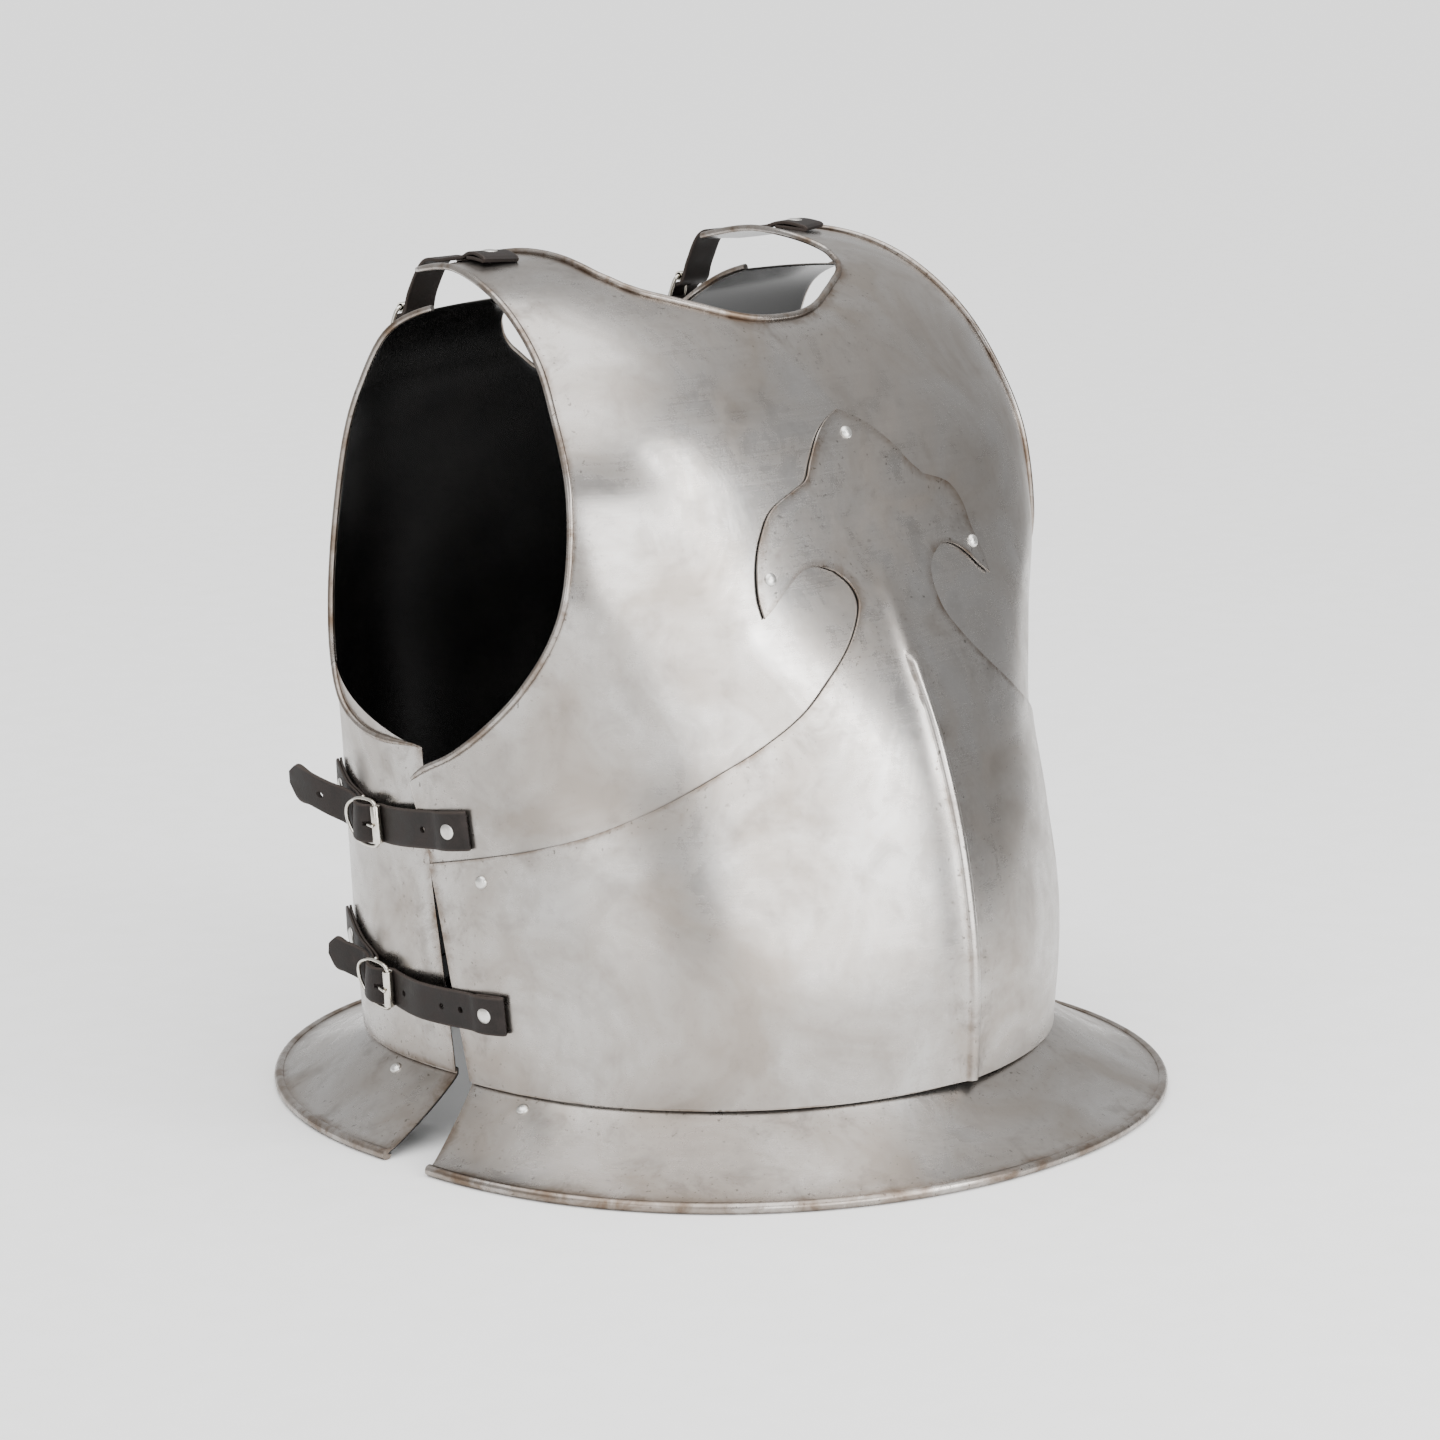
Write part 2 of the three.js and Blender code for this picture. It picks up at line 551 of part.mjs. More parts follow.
// One strap set in its flat layout; "front" is where the riveted end stops.
function strapSet(front, free, chapeEnd, punched) {
  const t = STRAP_THICK;
  const under = 0.5 + t / 2;
  const strapPath = [
    ...free,
    [-RING_REACH, 4.7, 9.7], [-7.8, 5.0, 9.8], [-3.8, 7.9], [0, 9.2], [3.4, 8.1],
    [9.6, 2.3], [12.5, under], [25, under], [39, under], [(front + 17) / 2, under],
    [front - 22, under],
  ];
  const doubled = ribbon([
    [front - 22, 0.45, 0.55 + t], [front - 19, 0.45, 0.6 + 2 * t],
    [front - 2, 0.45, 0.6 + 2 * t], [front, 0.45, 0.5 + t],
  ]);
  let strap = bentRibbon(strapPath, t).add(doubled);
  strap = strap.subtract(box(0.2, 9.2, -1.6, 1.6, -5, 20));
  for (const a of punched) strap = strap.subtract(hole(a));
  strap = strap.subtract(post([front - 11, 0, -9], [front - 11, 0, 9], SHANK_HOLE, 6));

  const c = CHAPE_THICK;
  const fold = BAR + 0.5 + c / 2;
  const chapePath = [
    [chapeEnd, 4.7], [chapeEnd + 7, 2.8], [-26, 2.7], [-8.2, 2.8],
    ...[115, 45, -45, -115].map((d) => [
      Math.cos(d * Math.PI / 180) * fold, BAR_HEIGHT + Math.sin(d * Math.PI / 180) * fold]),
    [-6, 1.0], [-26, 0.95], [chapeEnd + 2, 1.0],
  ].map(([a, h]) => [a, h, STRAP_WIDTH / 2 - 0.4]);
  let chape = bentRibbon(chapePath, c).subtract(box(-5.6, 6, -2.1, 2.1, -3, 9));
  const chapeRivet = chapeEnd + 13;
  chape = chape.subtract(post([chapeRivet, 0, -9], [chapeRivet, 0, 9], SHANK_HOLE, 6));

  const half = STRAP_WIDTH / 2 + 2.2;
  const level = (a) => mix(7.7, 5.3, (a + RING_REACH) / (RING_REACH + ROLLER_REACH));
  const side = [
    [ROLLER_REACH, half - 1.6], [ROLLER_REACH - 1.6, half], [-4, half], [-9.6, half - 2.4],
    [-13, half - 7],
  ];
  const far = side.map(([a, b]) => [a, -b]).reverse();
  const loop = [...side, [-RING_REACH, 0], ...far];
  let frame = tube(loop.map(([a, b]) => [a, b, level(a)]), WIRE, 5, true);
  frame = frame.add(post([0, -half, BAR_HEIGHT], [0, half, BAR_HEIGHT], BAR, 5));

  const rollerHalf = STRAP_WIDTH / 2 - 0.4;
  const rollerAt = (b) => [ROLLER_REACH, b, level(ROLLER_REACH)];
  const roller = post(rollerAt(-rollerHalf), rollerAt(rollerHalf), 2.65, 7)
    .subtract(post(rollerAt(-rollerHalf - 1), rollerAt(rollerHalf + 1), 1.9, 6));

  const tongue = tube([
    [-1.6, 0, 7.1], [3, 0, 7.9], [9, 0, 8.7], [ROLLER_REACH + 2.5, 0, 9.2],
  ], 0.8, 4, false);
  return { strap, chape, frame, roller, tongue, rivetAt: front - 11, chapeRivet };
}

// ---- the parts ----------------------------------------------------------------------------
const root = new THREE.Group();
root.name = 'steel_breastplate';
const steel = () => new THREE.MeshStandardMaterial({ color: 0xaaa59f, roughness: 0.34, metalness: 1 });
const nickel = () => new THREE.MeshStandardMaterial({ color: 0xd9d4c8, roughness: 0.25, metalness: 1 });
const leather = () => new THREE.MeshStandardMaterial({ color: 0x35302d, roughness: 0.62, metalness: 0 });

function place(name, solid, material) {
  const mesh = new THREE.Mesh(geometryOf(solid).translate(0, FOOTPRINT_SHIFT, 0), material);
  mesh.name = name;
  root.add(mesh);
}
const mirror = (solid) => solid.mirror([1, 0, 0]);

const solids = {
  front: plate(FRONT_BODY, FRONT_LINES, FRONT_COLUMNS, UNDER_LIFT, 1.5),
  lower: trefoilPlate(),
  back: plate(BACK_BODY, BACK_LINES, BACK_COLUMNS, 0, 0),
  frontSkirt: skirt(FRONT_BODY, FRONT_RIM),
  backSkirt: skirt(BACK_BODY, BACK_RIM),
};

function cut(name, base, axis) {
  solids[name] = solids[name].subtract(drill(base, axis));
}

// Rivets through the plates: [name, across, along, seat, plates it passes].
const LOWER_SEAT = OVER_LIFT + 0.35;
const PLATE_RIVETS = [
  ['trefoil_rivet_top', 0, 0.593],
  ['trefoil_rivet_right', -0.25, 0.475],
  ['trefoil_rivet_left', 0.257, 0.477],
  ['lower_plate_rivet_right', -0.88, 0.19],
  ['lower_plate_rivet_left', 0.88, 0.19],
];
for (const [name, across, along] of PLATE_RIVETS) {
  const base = bodyPoint(FRONT_BODY, across, along);
  const axis = bodyNormal(FRONT_BODY, across, along);
  cut('front', base, axis);
  cut('lower', base, axis);
  place(name, rivet(base, axis, LOWER_SEAT, SHEET + 1.6, 3.4, 2.1), nickel());
}
const SKIRT_RIVETS = [
  ['front_skirt_rivet', 'frontSkirt', FRONT_BODY, FRONT_RIM, 0.87],
  ['back_skirt_rivet', 'backSkirt', BACK_BODY, BACK_RIM, 0.885],
];
for (const [name, key, body, rim, across] of SKIRT_RIVETS) {
  for (const s of [-1, 1]) {
    const base = skirtPoint(body, rim, s * across, 0.16);
    const down = sub(skirtPoint(body, rim, s * across, 0.2), skirtPoint(body, rim, s * across, 0.12));
    const along = sub(skirtPoint(body, rim, s * across + 0.02, 0.16),
      skirtPoint(body, rim, s * across - 0.02, 0.16));
    let axis = unit(cross(down, along));
    if (axis[2] < 0) axis = add([0, 0, 0], axis, -1);
    cut(key, base, axis);
    place(`${name}_${s < 0 ? 'right' : 'left'}`,
      rivet(base, axis, 0.35, SHEET + 1.0, 3.3, 2.0), nickel());
  }
}

// Strap sets on the wearer's right, mirrored for the left.
const SIDE_STRAPS = [
  {
    name: 'upper',
    plate: 'front',
    line: sideLine([
      [-70, 122, 181, 0], [-45, 99, 173, 0], [-22, 78, 165, 0], [0, 57, 160.3, 0],
      [14, 43, 160.5, 0], [44, 13, 163.6, 0], [80, -23, 168, 0], [95, -38, 170, 0],
    ]),
    front: 80,
    free: [
      [-48, 27.5, 3.2], [-44, 24.4, 8.2], [-36, 18.2, 9.6], [-27, 11.6], [-19.5, 6.6],
    ],
    chapeEnd: -49,
    punched: [-31, 50],
  },
  {
    name: 'lower',
    plate: 'lower',
    line: sideLine([
      [-70, 124, 101, 0], [-45, 100, 93, 0], [-22, 78, 82, 0], [0, 57.5, 74.5, 0],
      [14, 43.5, 73, 0], [45, 13, 72.6, 2.6], [80, -22, 74.2, 2.8], [101, -43, 75.3, 2.8],
      [115, -57, 76, 2.8],
    ]),
    front: 101,
    free: [[-31, 16.5, 4], [-28, 14, 9], [-23, 10.2], [-18.5, 6.9]],
    chapeEnd: -49,
    punched: [25, 58, 72],
  },
];

// Base line over the wearer's right shoulder: along the tab, off its end and down the back.
// rows: [a, x, y, z].
function shoulderLine(rows) {
  const at = rows.map((r) => r[0]);
  const centre = (a, b) => {
    const [, x, y, z] = curve(at, rows, a);
    return [x + b, y, z];
  };
  return frameLine(centre);
}
const tabTop = (across, along) => lifted(FRONT_BODY, across, along, 0);
const SHOULDER_ROWS = [
  [-50, -100, 122, 346], [-35, -101, 116, 361], [-18, -101.5, 111.5, 378], [0, -102, 107, 396],
  [12, -102, 103.5, 408.5], [24, -102, 99.5, 420.5], [35, ...add(tabTop(-0.42, 0.984), [0, 4.2, 0.8])],
  [45, ...add(tabTop(-0.426, 0.967), [0, 0, 0.6])],
  [62, ...tabTop(-0.437, 0.937)], [82, ...tabTop(-0.458, 0.9)],
  [101, ...tabTop(-0.478, 0.864)], [112, ...tabTop(-0.49, 0.845)],
];

const strapKinds = [
  ...SIDE_STRAPS,
  {
    name: 'shoulder',
    plate: 'front',
    line: shoulderLine(SHOULDER_ROWS),
    front: 93,
    free: [[-36, 10.5, 3.5], [-32, 9.6, 8.5], [-25, 8.4], [-19, 6.6]],
    chapeEnd: -46,
    punched: [46, 58],
  },
];

for (const kind of strapKinds) {
  const set = strapSet(kind.front, kind.free, kind.chapeEnd, kind.punched);
  const lay = (solid) => wrap(kind.line, solid);
  const made = {
    strap: [lay(set.strap), leather],
    chape: [lay(set.chape), leather],
    buckle: [lay(set.frame), nickel],
    roller: [lay(set.roller), nickel],
    tongue: [lay(set.tongue), nickel],
  };
  const spots = { strap_rivet: set.rivetAt, chape_rivet: set.chapeRivet };
  for (const [part, a] of Object.entries(spots)) {
    const base = kind.line(a, 0, 0);
    const axis = unit(sub(kind.line(a, 0, 5), base));
    const flip = ([x, y, z]) => [-x, y, z];
    const through = part === 'strap_rivet' ? kind.plate : 'back';
    cut(through, base, axis);
    cut(through, flip(base), flip(axis));
    if (through === 'lower') {
      cut('front', base, axis);
      cut('front', flip(base), flip(axis));
    }
    const seat = part === 'strap_rivet' ? 0.9 + 2 * STRAP_THICK : 3.7;
    made[part] = [rivet(base, axis, seat, SHEET + 2.4, 4.4, 1.1), nickel];
  }
  for (const [part, [solid, finish]] of Object.entries(made)) {
    place(`${kind.name}_${part}_right`, solid, finish());
    place(`${kind.name}_${part}_left`, mirror(solid), finish());
  }
}

place('front_plate', solids.front, steel());
place('lower_plate', solids.lower, steel());
place('back_plate', solids.back, steel());
place('front_skirt', solids.frontSkirt, steel());
place('back_skirt', solids.backSkirt, steel());

export default root;
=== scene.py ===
# %% [markdown]
# # A steel cuirass on its skirts
# Breastplate, lower breastplate with a trefoil top, back plate, two flared skirts and buckled
# leather straps.  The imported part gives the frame; every plate and strap is then made again at
# a finer grain, from the same sections, so that polish, rolls and rivets catch the light.

import bmesh
import bpy
import numpy as np
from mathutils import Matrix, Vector


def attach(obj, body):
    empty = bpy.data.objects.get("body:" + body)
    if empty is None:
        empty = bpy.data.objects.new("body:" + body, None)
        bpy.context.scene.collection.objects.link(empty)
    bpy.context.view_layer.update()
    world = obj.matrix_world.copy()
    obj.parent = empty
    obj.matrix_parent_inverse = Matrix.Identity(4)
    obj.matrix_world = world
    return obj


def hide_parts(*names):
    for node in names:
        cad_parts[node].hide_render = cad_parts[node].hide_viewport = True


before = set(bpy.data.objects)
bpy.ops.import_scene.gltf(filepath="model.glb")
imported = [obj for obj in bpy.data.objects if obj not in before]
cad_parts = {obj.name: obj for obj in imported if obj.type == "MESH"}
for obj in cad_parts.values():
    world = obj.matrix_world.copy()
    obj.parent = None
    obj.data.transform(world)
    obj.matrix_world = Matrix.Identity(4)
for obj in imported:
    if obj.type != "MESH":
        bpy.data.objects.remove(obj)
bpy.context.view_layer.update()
MM = 0.001
print("solids in the frame:", len(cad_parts))

# %% [markdown]
# ## Camera
# A long lens 2.4 metres away keeps the armour's proportions calm.  It looks down by about
# twelve degrees, from the wearer's right front.

# %% Camera
LENS_MM = 112.5
SENSOR_MM = 36.0
CAMERA_PLACE = (-1.6563, -1.62455, 0.6846)
CAMERA_TURN = (78.05, 0.0, -45.65)

camera_data = bpy.data.cameras.new("camera")
camera_data.lens = LENS_MM
camera_data.sensor_width = SENSOR_MM
camera_data.clip_end = 50.0
camera = bpy.data.objects.new("camera", camera_data)
camera.location = CAMERA_PLACE
camera.rotation_euler = np.radians(CAMERA_TURN)
bpy.context.scene.collection.objects.link(camera)
bpy.context.scene.camera = camera
print("lens", LENS_MM, "mm")

# %% [markdown]
# ## Smooth curves through short tables
# A smith works from a few templates and lets the sheet run smoothly between them.  Here each
# table row is a template, and a cubic with matched slopes runs through the rows.

# %% Curves
def smooth(at, rows, where):
    """Cubic pieces through rows; the slope at a row is the gap-weighted mean beside it."""
    at = np.asarray(at, float)
    rows = np.asarray(rows, float)
    gap = np.diff(at)[:, None]
    rise = np.diff(rows, axis=0) / gap
    inner = (gap[:-1] * rise[1:] + gap[1:] * rise[:-1]) / (gap[:-1] + gap[1:])
    slope = np.vstack([rise[:1], inner, rise[-1:]])
    i = np.clip(np.searchsorted(at, where, side="right") - 1, 0, len(at) - 2)
    t = ((where - at[i]) / (at[i + 1] - at[i]))[..., None]
    step = (at[i + 1] - at[i])[..., None]
    return ((2 * t**3 - 3 * t**2 + 1) * rows[i] + (t**3 - 2 * t**2 + t) * step * slope[i]
            + (3 * t**2 - 2 * t**3) * rows[i + 1] + (t**3 - t**2) * step * slope[i + 1])


def refine(table, corners, steps, at=None):
    """Finer rows of a table: smooth from corner row to corner row, and sharp at those rows."""
    table = np.asarray(table, float)
    if at is None:
        at = spacing(table)
    stops = [0, *corners, len(table) - 1]
    parts = []
    for a, b in zip(stops[:-1], stops[1:]):
        where = np.interp(np.linspace(a, b, (b - a) * steps + 1), np.arange(a, b + 1), at[a:b + 1])
        parts.append(smooth(at[a:b + 1], table[a:b + 1], where)[:-1])
    return np.vstack([*parts, table[-1:]])


def spacing(table):
    """Running distance down a table, summed over its two pairs of surface coordinates."""
    move = np.diff(np.asarray(table, float)[:, :4], axis=0)
    return np.r_[0, np.cumsum(np.hypot(move[:, 0], move[:, 1])
                              + np.hypot(move[:, 2], move[:, 3]) + 1e-3)]


def mix(a, b, t):
    """Straight line from a (t = 0) to b (t = 1)."""
    return a + (b - a) * t


def unit(v):
    """Vectors divided by their own lengths."""
    return v / np.linalg.norm(v, axis=-1, keepdims=True)


print("halfway from 0 to 10:", smooth([0, 1], [[0.0], [10.0]], np.array([0.5]))[0, 0])

# %% [markdown]
# ## The torso that the plates are hammered to
# Each section is a flat arch: its crown in the middle, its feet at the wearer's sides, leaning
# back over the shoulder.  "across" runs from -1 to 1 and "along" from the waist to the tip.

# %% Sections: y and z of the crown, backward tilt, half width, rise, fullness
WAIST = 35.0
SHIFT_Y = 8.75          # the tables start from the middle of the waist, not of the footprint

FRONT = {"side": 1.0, "sections": np.array([
    [-188, 35, 0, 178, 175, 2.0],
    [-189, 90, 0, 184, 183, 2.02],
    [-180, 150, 0, 188, 185, 1.96],
    [-165, 200, 2, 192, 182, 1.98],
    [-143, 250, 4, 193, 163, 2.4],
    [-120, 300, 8, 196, 130, 2.95],
    [-104, 350, 16, 194, 108, 3.0],
    [-79, 388, 34, 190, 88, 3.0],
    [-54, 412, 52, 185, 66, 3.0],
    [-14, 434, 72, 178, 42, 3.0],
    [38, 443, 90, 170, 26, 3.2],
    [95, 434, 104, 165, 24, 3.2],
])}
BACK = {"side": -1.0, "sections": np.array([
    [155, 35, 0, 174, 150, 2.6],
    [155, 90, 0, 179, 147, 2.6],
    [153, 150, 0, 183, 140, 2.6],
    [150, 200, 2, 186, 137, 2.7],
    [143, 255, 5, 190, 126, 2.9],
    [134, 290, 10, 192, 112, 3.0],
    [112, 345, 20, 190, 62, 3.1],
    [93, 382, 30, 186, 40, 3.2],
    [72, 409, 48, 182, 20, 3.2],
    [35, 424, 80, 176, 12, 3.2],
    [8, 427, 92, 172, 12, 3.2],
])}
for body in (FRONT, BACK):
    walk = np.hypot(*np.diff(body["sections"][:, :2], axis=0).T)
    body["at"] = np.r_[0, np.cumsum(walk)] / walk.sum()
print("waist", 2 * FRONT["sections"][0, 3], "mm wide")


# %% Places on the torso
def body_point(body, across, along):
    """Superellipse arch, leant back: out to the side by half width times sine, and falling
    from the crown by rise times one minus the fullness-root of what the sine leaves."""
    y, z, tilt, half, rise, full = np.moveaxis(
        smooth(body["at"], body["sections"], np.asarray(along, float)), -1, 0)
    s = np.sin(np.asarray(across, float) * np.pi / 2)
    left = np.maximum(0, 1 - np.abs(s)**full)
    drop = rise * (1 - left**(1 / full))
    lean = np.radians(tilt)
    return np.stack([half * s, y + body["side"] * drop * np.cos(lean),
                     z - drop * np.sin(lean)], -1)


def body_normal(body, across, along, e=0.004):
    """Cross product of the two directions on the surface, pointing outwards."""
    c = np.clip(across, e - 1, 1 - e)
    a = np.clip(along, e, 1 - e)
    du = body_point(body, c + e, a) - body_point(body, c - e, a)
    dv = body_point(body, c, a + e) - body_point(body, c, a - e)
    return unit(np.cross(du, dv)) * body["side"]


def lifted(body, across, along, height):
    """A point of the torso, moved out along the normal by a height in mm."""
    return (body_point(body, across, along)
            + body_normal(body, across, along) * np.asarray(height)[..., None])


print("waist of the front at", lifted(FRONT, 0.0, 0.0, 0.0), "mm")

# %% [markdown]
# ## From arrays to a mesh
# Every piece below is a grid of points.  One function turns the grid into faces, whole arrays
# at a time, welds the points that coincide and hands the piece to the frame.

# %% Grids and meshes
def grid_faces(rows, columns, closed_rows=False, closed_columns=False, first=0):
    """Corner numbers of all the quads of a grid, which may close on itself either way."""
    i = np.arange(rows if closed_rows else rows - 1)[:, None]
    j = np.arange(columns if closed_columns else columns - 1)[None, :]
    i1, j1 = (i + 1) % rows, (j + 1) % columns
    quads = [i * columns + j, i1 * columns + j, i1 * columns + j1, i * columns + j1]
    return np.stack(np.broadcast_arrays(*quads), -1).reshape(-1, 4) + first


def make_piece(name, points, faces, materials, parts=None, edge=None, sharp=35.0):
    """Points in mm and quads into one welded, outward-facing mesh object at the origin."""
    mesh = bpy.data.meshes.new(name)
    place = (np.asarray(points, float).reshape(-1, 3) + [0, SHIFT_Y, 0]) * MM
    mesh.from_pydata(place.tolist(), [], faces.tolist())
    if edge is not None:
        wear = mesh.attributes.new("edge_mm", "FLOAT", "POINT")
        wear.data.foreach_set("value", np.asarray(edge, np.float32).ravel())
    for material in materials:
        mesh.materials.append(material)
    if parts is not None:
        mesh.polygons.foreach_set("material_index", np.asarray(parts, np.int32).ravel())
    tidy(mesh, 2e-6)
    return show(name, mesh, sharp)


def show(name, mesh, sharp):
    """Smooth faces with hard edges past an angle, as an object that rides on the torso."""
    mesh.shade_smooth()
    mesh.set_sharp_from_angle(angle=np.radians(sharp))
    piece = bpy.data.objects.new(name, mesh)
    bpy.context.scene.collection.objects.link(piece)
    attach(piece, "root")
    return piece


def tidy(mesh, gap):
    """Welds equal points, drops faces without area and turns a closed skin outwards."""
    work = bmesh.new()
    work.from_mesh(mesh)
    bmesh.ops.remove_doubles(work, verts=work.verts, dist=gap)
    bmesh.ops.dissolve_degenerate(work, dist=gap / 2, edges=work.edges)
    bmesh.ops.recalc_face_normals(work, faces=work.faces)
    work.to_mesh(mesh)
    work.free()


def run_along(skin):
    """Distance walked along each row of a grid, summed from the row's first point."""
    walk = np.linalg.norm(np.diff(skin, axis=1), axis=-1)
    return np.concatenate([np.zeros((len(skin), 1)), np.cumsum(walk, axis=1)], axis=1)


def closed_ends(loop, face, turn):
    """Shuts both ends of a flat tube.  Round it go one face, a turn, the other face and perhaps
    a second turn; each point meets the one across from it, so their numbers have one sum."""
    across = (2 * face + turn - 1 - np.arange(loop.shape[1])) % loop.shape[1]
    ends = [(loop[k] + loop[k][across])[None] / 2 for k in (0, -1)]
    return np.concatenate([ends[0], loop, ends[1]])


print("a grid of 3 by 4 points has", len(grid_faces(3, 4)), "faces")

# %% [markdown]
# ## Colours and nodes
# Colours are written as they look on a screen and turned to the light values that the shader
# adds up.  One helper adds any node, with its settings and its links.

# %% Colours and nodes
def linear(hex_colour):
    """sRGB hex to linear light: divided by 12.92 near black, a power of 2.4 above."""
    srgb = np.array([int(hex_colour[k:k + 2], 16) / 255 for k in (1, 3, 5)])
    light = np.where(srgb <= 0.04045, srgb / 12.92, ((srgb + 0.055) / 1.055)**2.4)
    return (*light.tolist(), 1.0)


def feed(tree, node, inputs):
    """Sets a node's inputs: plain values on its own sockets, and links from other sockets."""
    for key, value in inputs.items():
        if isinstance(value, bpy.types.NodeSocket):
            tree.links.new(value, node.inputs[key])
        else:
            node.inputs[key].default_value = value


def add_node(tree, kind, inputs=None, **settings):
    """Adds one shader node with its settings and its inputs."""
    made = tree.nodes.new("ShaderNode" + kind)
    for name, value in settings.items():
        setattr(made, name, value)
    feed(tree, made, inputs or {})
    return made


def start_material(name, **surface):
    """A Principled shader with plain values, its tree, and the place on the object in metres."""
    material = bpy.data.materials.new(name)
    material.use_nodes = True
    tree = material.node_tree
    tree.nodes.clear()
    shader = add_node(tree, "BsdfPrincipled", surface)
    add_node(tree, "OutputMaterial", {"Surface": shader.outputs["BSDF"]})
    return material, tree, shader, add_node(tree, "TexCoord").outputs["Object"]


# %% Layers of colour
MIX_SHARE, MIX_UNDER, MIX_OVER = 0, 6, 7     # sockets of the Mix node when it mixes colours
MIX_RESULT = 2


def layer(tree, under, pattern, span, colour, share=(0.0, 1.0), near=None):
    """Lays a colour over another.  Its share goes straight from the first to the second value
    while the pattern passes through the span, times a second mask where one is given."""
    amount = add_node(tree, "MapRange", {
        "Value": pattern, "From Min": span[0], "From Max": span[1],
        "To Min": share[0], "To Max": share[1]}).outputs["Result"]
    if near is not None:
        amount = add_node(tree, "Math", {0: near, 1: amount}, operation="MULTIPLY").outputs[0]
    inputs = {MIX_SHARE: amount, MIX_UNDER: under, MIX_OVER: linear(colour)}
    return add_node(tree, "Mix", inputs, data_type="RGBA").outputs[MIX_RESULT]


def clouded(name, light, dark, span, size_mm, detail, rough, **surface):
    """A material with two tones in clouds: noise of one size mixes the dark into the light."""
    material, tree, shader, here = start_material(name, **surface)
    cloud = add_node(tree, "TexNoise", {"Vector": here, "Scale": 1 / (size_mm * MM),
                                        "Detail": detail, "Roughness": rough}).outputs["Fac"]
    feed(tree, shader, {"Base Color": layer(tree, linear(light), cloud, span, dark)})
    return material, tree, shader, here, cloud


print("mid grey in linear light:", round(linear("#808080")[0], 3))

# %% [markdown]
# ## Mild steel, rubbed to a satin
# The sheet is cold-rolled mild steel, finished by hand with a fine abrasive.  To the eye that is
# a soft grey mirror: broad blurred reflections, cloudy patches where handling has warmed the
# colour, level rubbing marks, and brown tarnish gathered along cut edges and rolls.

# %% Steel
STEEL_PATTERNS = {       # size in mm, detail, roughness, twist
    "cloud": [75.0, 4.0, 0.6, 0.8],         # cloudy patches
    "stain": [20.0, 6.0, 0.68, 0.4],        # handling stains
    "pits": [2.6, 2.0, 0.5, 0.0],           # small dark pits near the edges
}
RUBBING_MM = 0.9         # spacing of the level polishing marks, drawn coarse enough to show
RUBBING_WAVES = 9.0      # waves a metre along the marks
TARNISH_REACH_MM = 6.0   # how far the brown creeps in from an edge
PIT_REACH_MM = 45.0      # and the pits and darker stains

steel, tree, shader, here = start_material("rubbed_mild_steel", Metallic=1.0)
cloud, stain, pits = (
    add_node(tree, "TexNoise", {"Vector": here, "Scale": 1 / (size * MM), "Detail": detail,
                                "Roughness": rough, "Distortion": twist}).outputs["Fac"]
    for size, detail, rough, twist in STEEL_PATTERNS.values())
drawn = (RUBBING_WAVES, RUBBING_WAVES, 1 / (RUBBING_MM * MM))
level = add_node(tree, "Mapping", {"Vector": here, "Scale": drawn}).outputs["Vector"]
marks = add_node(tree, "TexNoise", {"Vector": level, "Scale": 1.0, "Detail": 2.0,
                                    "Roughness": 0.6}).outputs["Fac"]
edge = add_node(tree, "Attribute", attribute_name="edge_mm").outputs["Fac"]
# beside and around follow edge_mm; on the lower plate it is also cut short along the rib's feet,
# where these tarnish and stain layers are painted shade
beside, around = (
    add_node(tree, "MapRange", {"Value": edge, "From Max": reach, "To Min": 1.0,
                                "To Max": rest}).outputs["Result"]
    for reach, rest in ((TARNISH_REACH_MM, 0.0), (PIT_REACH_MM, 0.12)))

# %% Colour, polish and hand work of the steel
STEEL_LAYERS = [         # pattern, its span, colour, share at both ends, mask by the edges
    [cloud, (0.34, 0.66), "#9A928A", (0.0, 1.0), None],
    [stain, (0.5, 0.8), "#857D76", (0.0, 0.4), None],
    [stain, (0.52, 0.74), "#6F6862", (0.0, 0.75), around],
    [pits, (0.66, 0.72), "#4E4843", (0.0, 0.75), around],
    [stain, (0.38, 0.66), "#6D5D4F", (0.15, 1.0), beside],
]
STEEL_POLISH = [         # pattern, its span, roughness that it adds at both ends
    [cloud, (0.3, 0.7), (0.21, 0.33)],
    [stain, (0.35, 0.75), (-0.03, 0.10)],
    [marks, (0.3, 0.7), (-0.012, 0.02)],
]

base = linear("#B9B6B3")
for pattern, span, colour, share, near in STEEL_LAYERS:
    base = layer(tree, base, pattern, span, colour, share, near)
rough = 0.0
for pattern, span, value in STEEL_POLISH:
    added = add_node(tree, "MapRange", {
        "Value": pattern, "From Min": span[0], "From Max": span[1],
        "To Min": value[0], "To Max": value[1]}).outputs["Result"]
    rough = add_node(tree, "Math", {0: rough, 1: added}, operation="ADD").outputs[0]
fine = add_node(tree, "Bump", {
    "Strength": 0.04, "Distance": 0.2 * MM, "Height": marks}).outputs["Normal"]
broad = add_node(tree, "Bump", {
    "Strength": 0.12, "Distance": 2 * MM, "Height": cloud, "Normal": fine}).outputs["Normal"]
feed(tree, shader, {"Base Color": base, "Roughness": rough, "Normal": broad})
print("made", steel.name)

# %% [markdown]
# ## Black enamel inside
# The hollow is sprayed with gloss black enamel against rust.  Sprayed enamel keeps a faint
# orange-peel ripple, which breaks up its sharp reflections.

# %% Enamel
DUST_MM = 30.0           # size of the dusty patches
PEEL_MM = 1.6            # spacing of the ripple

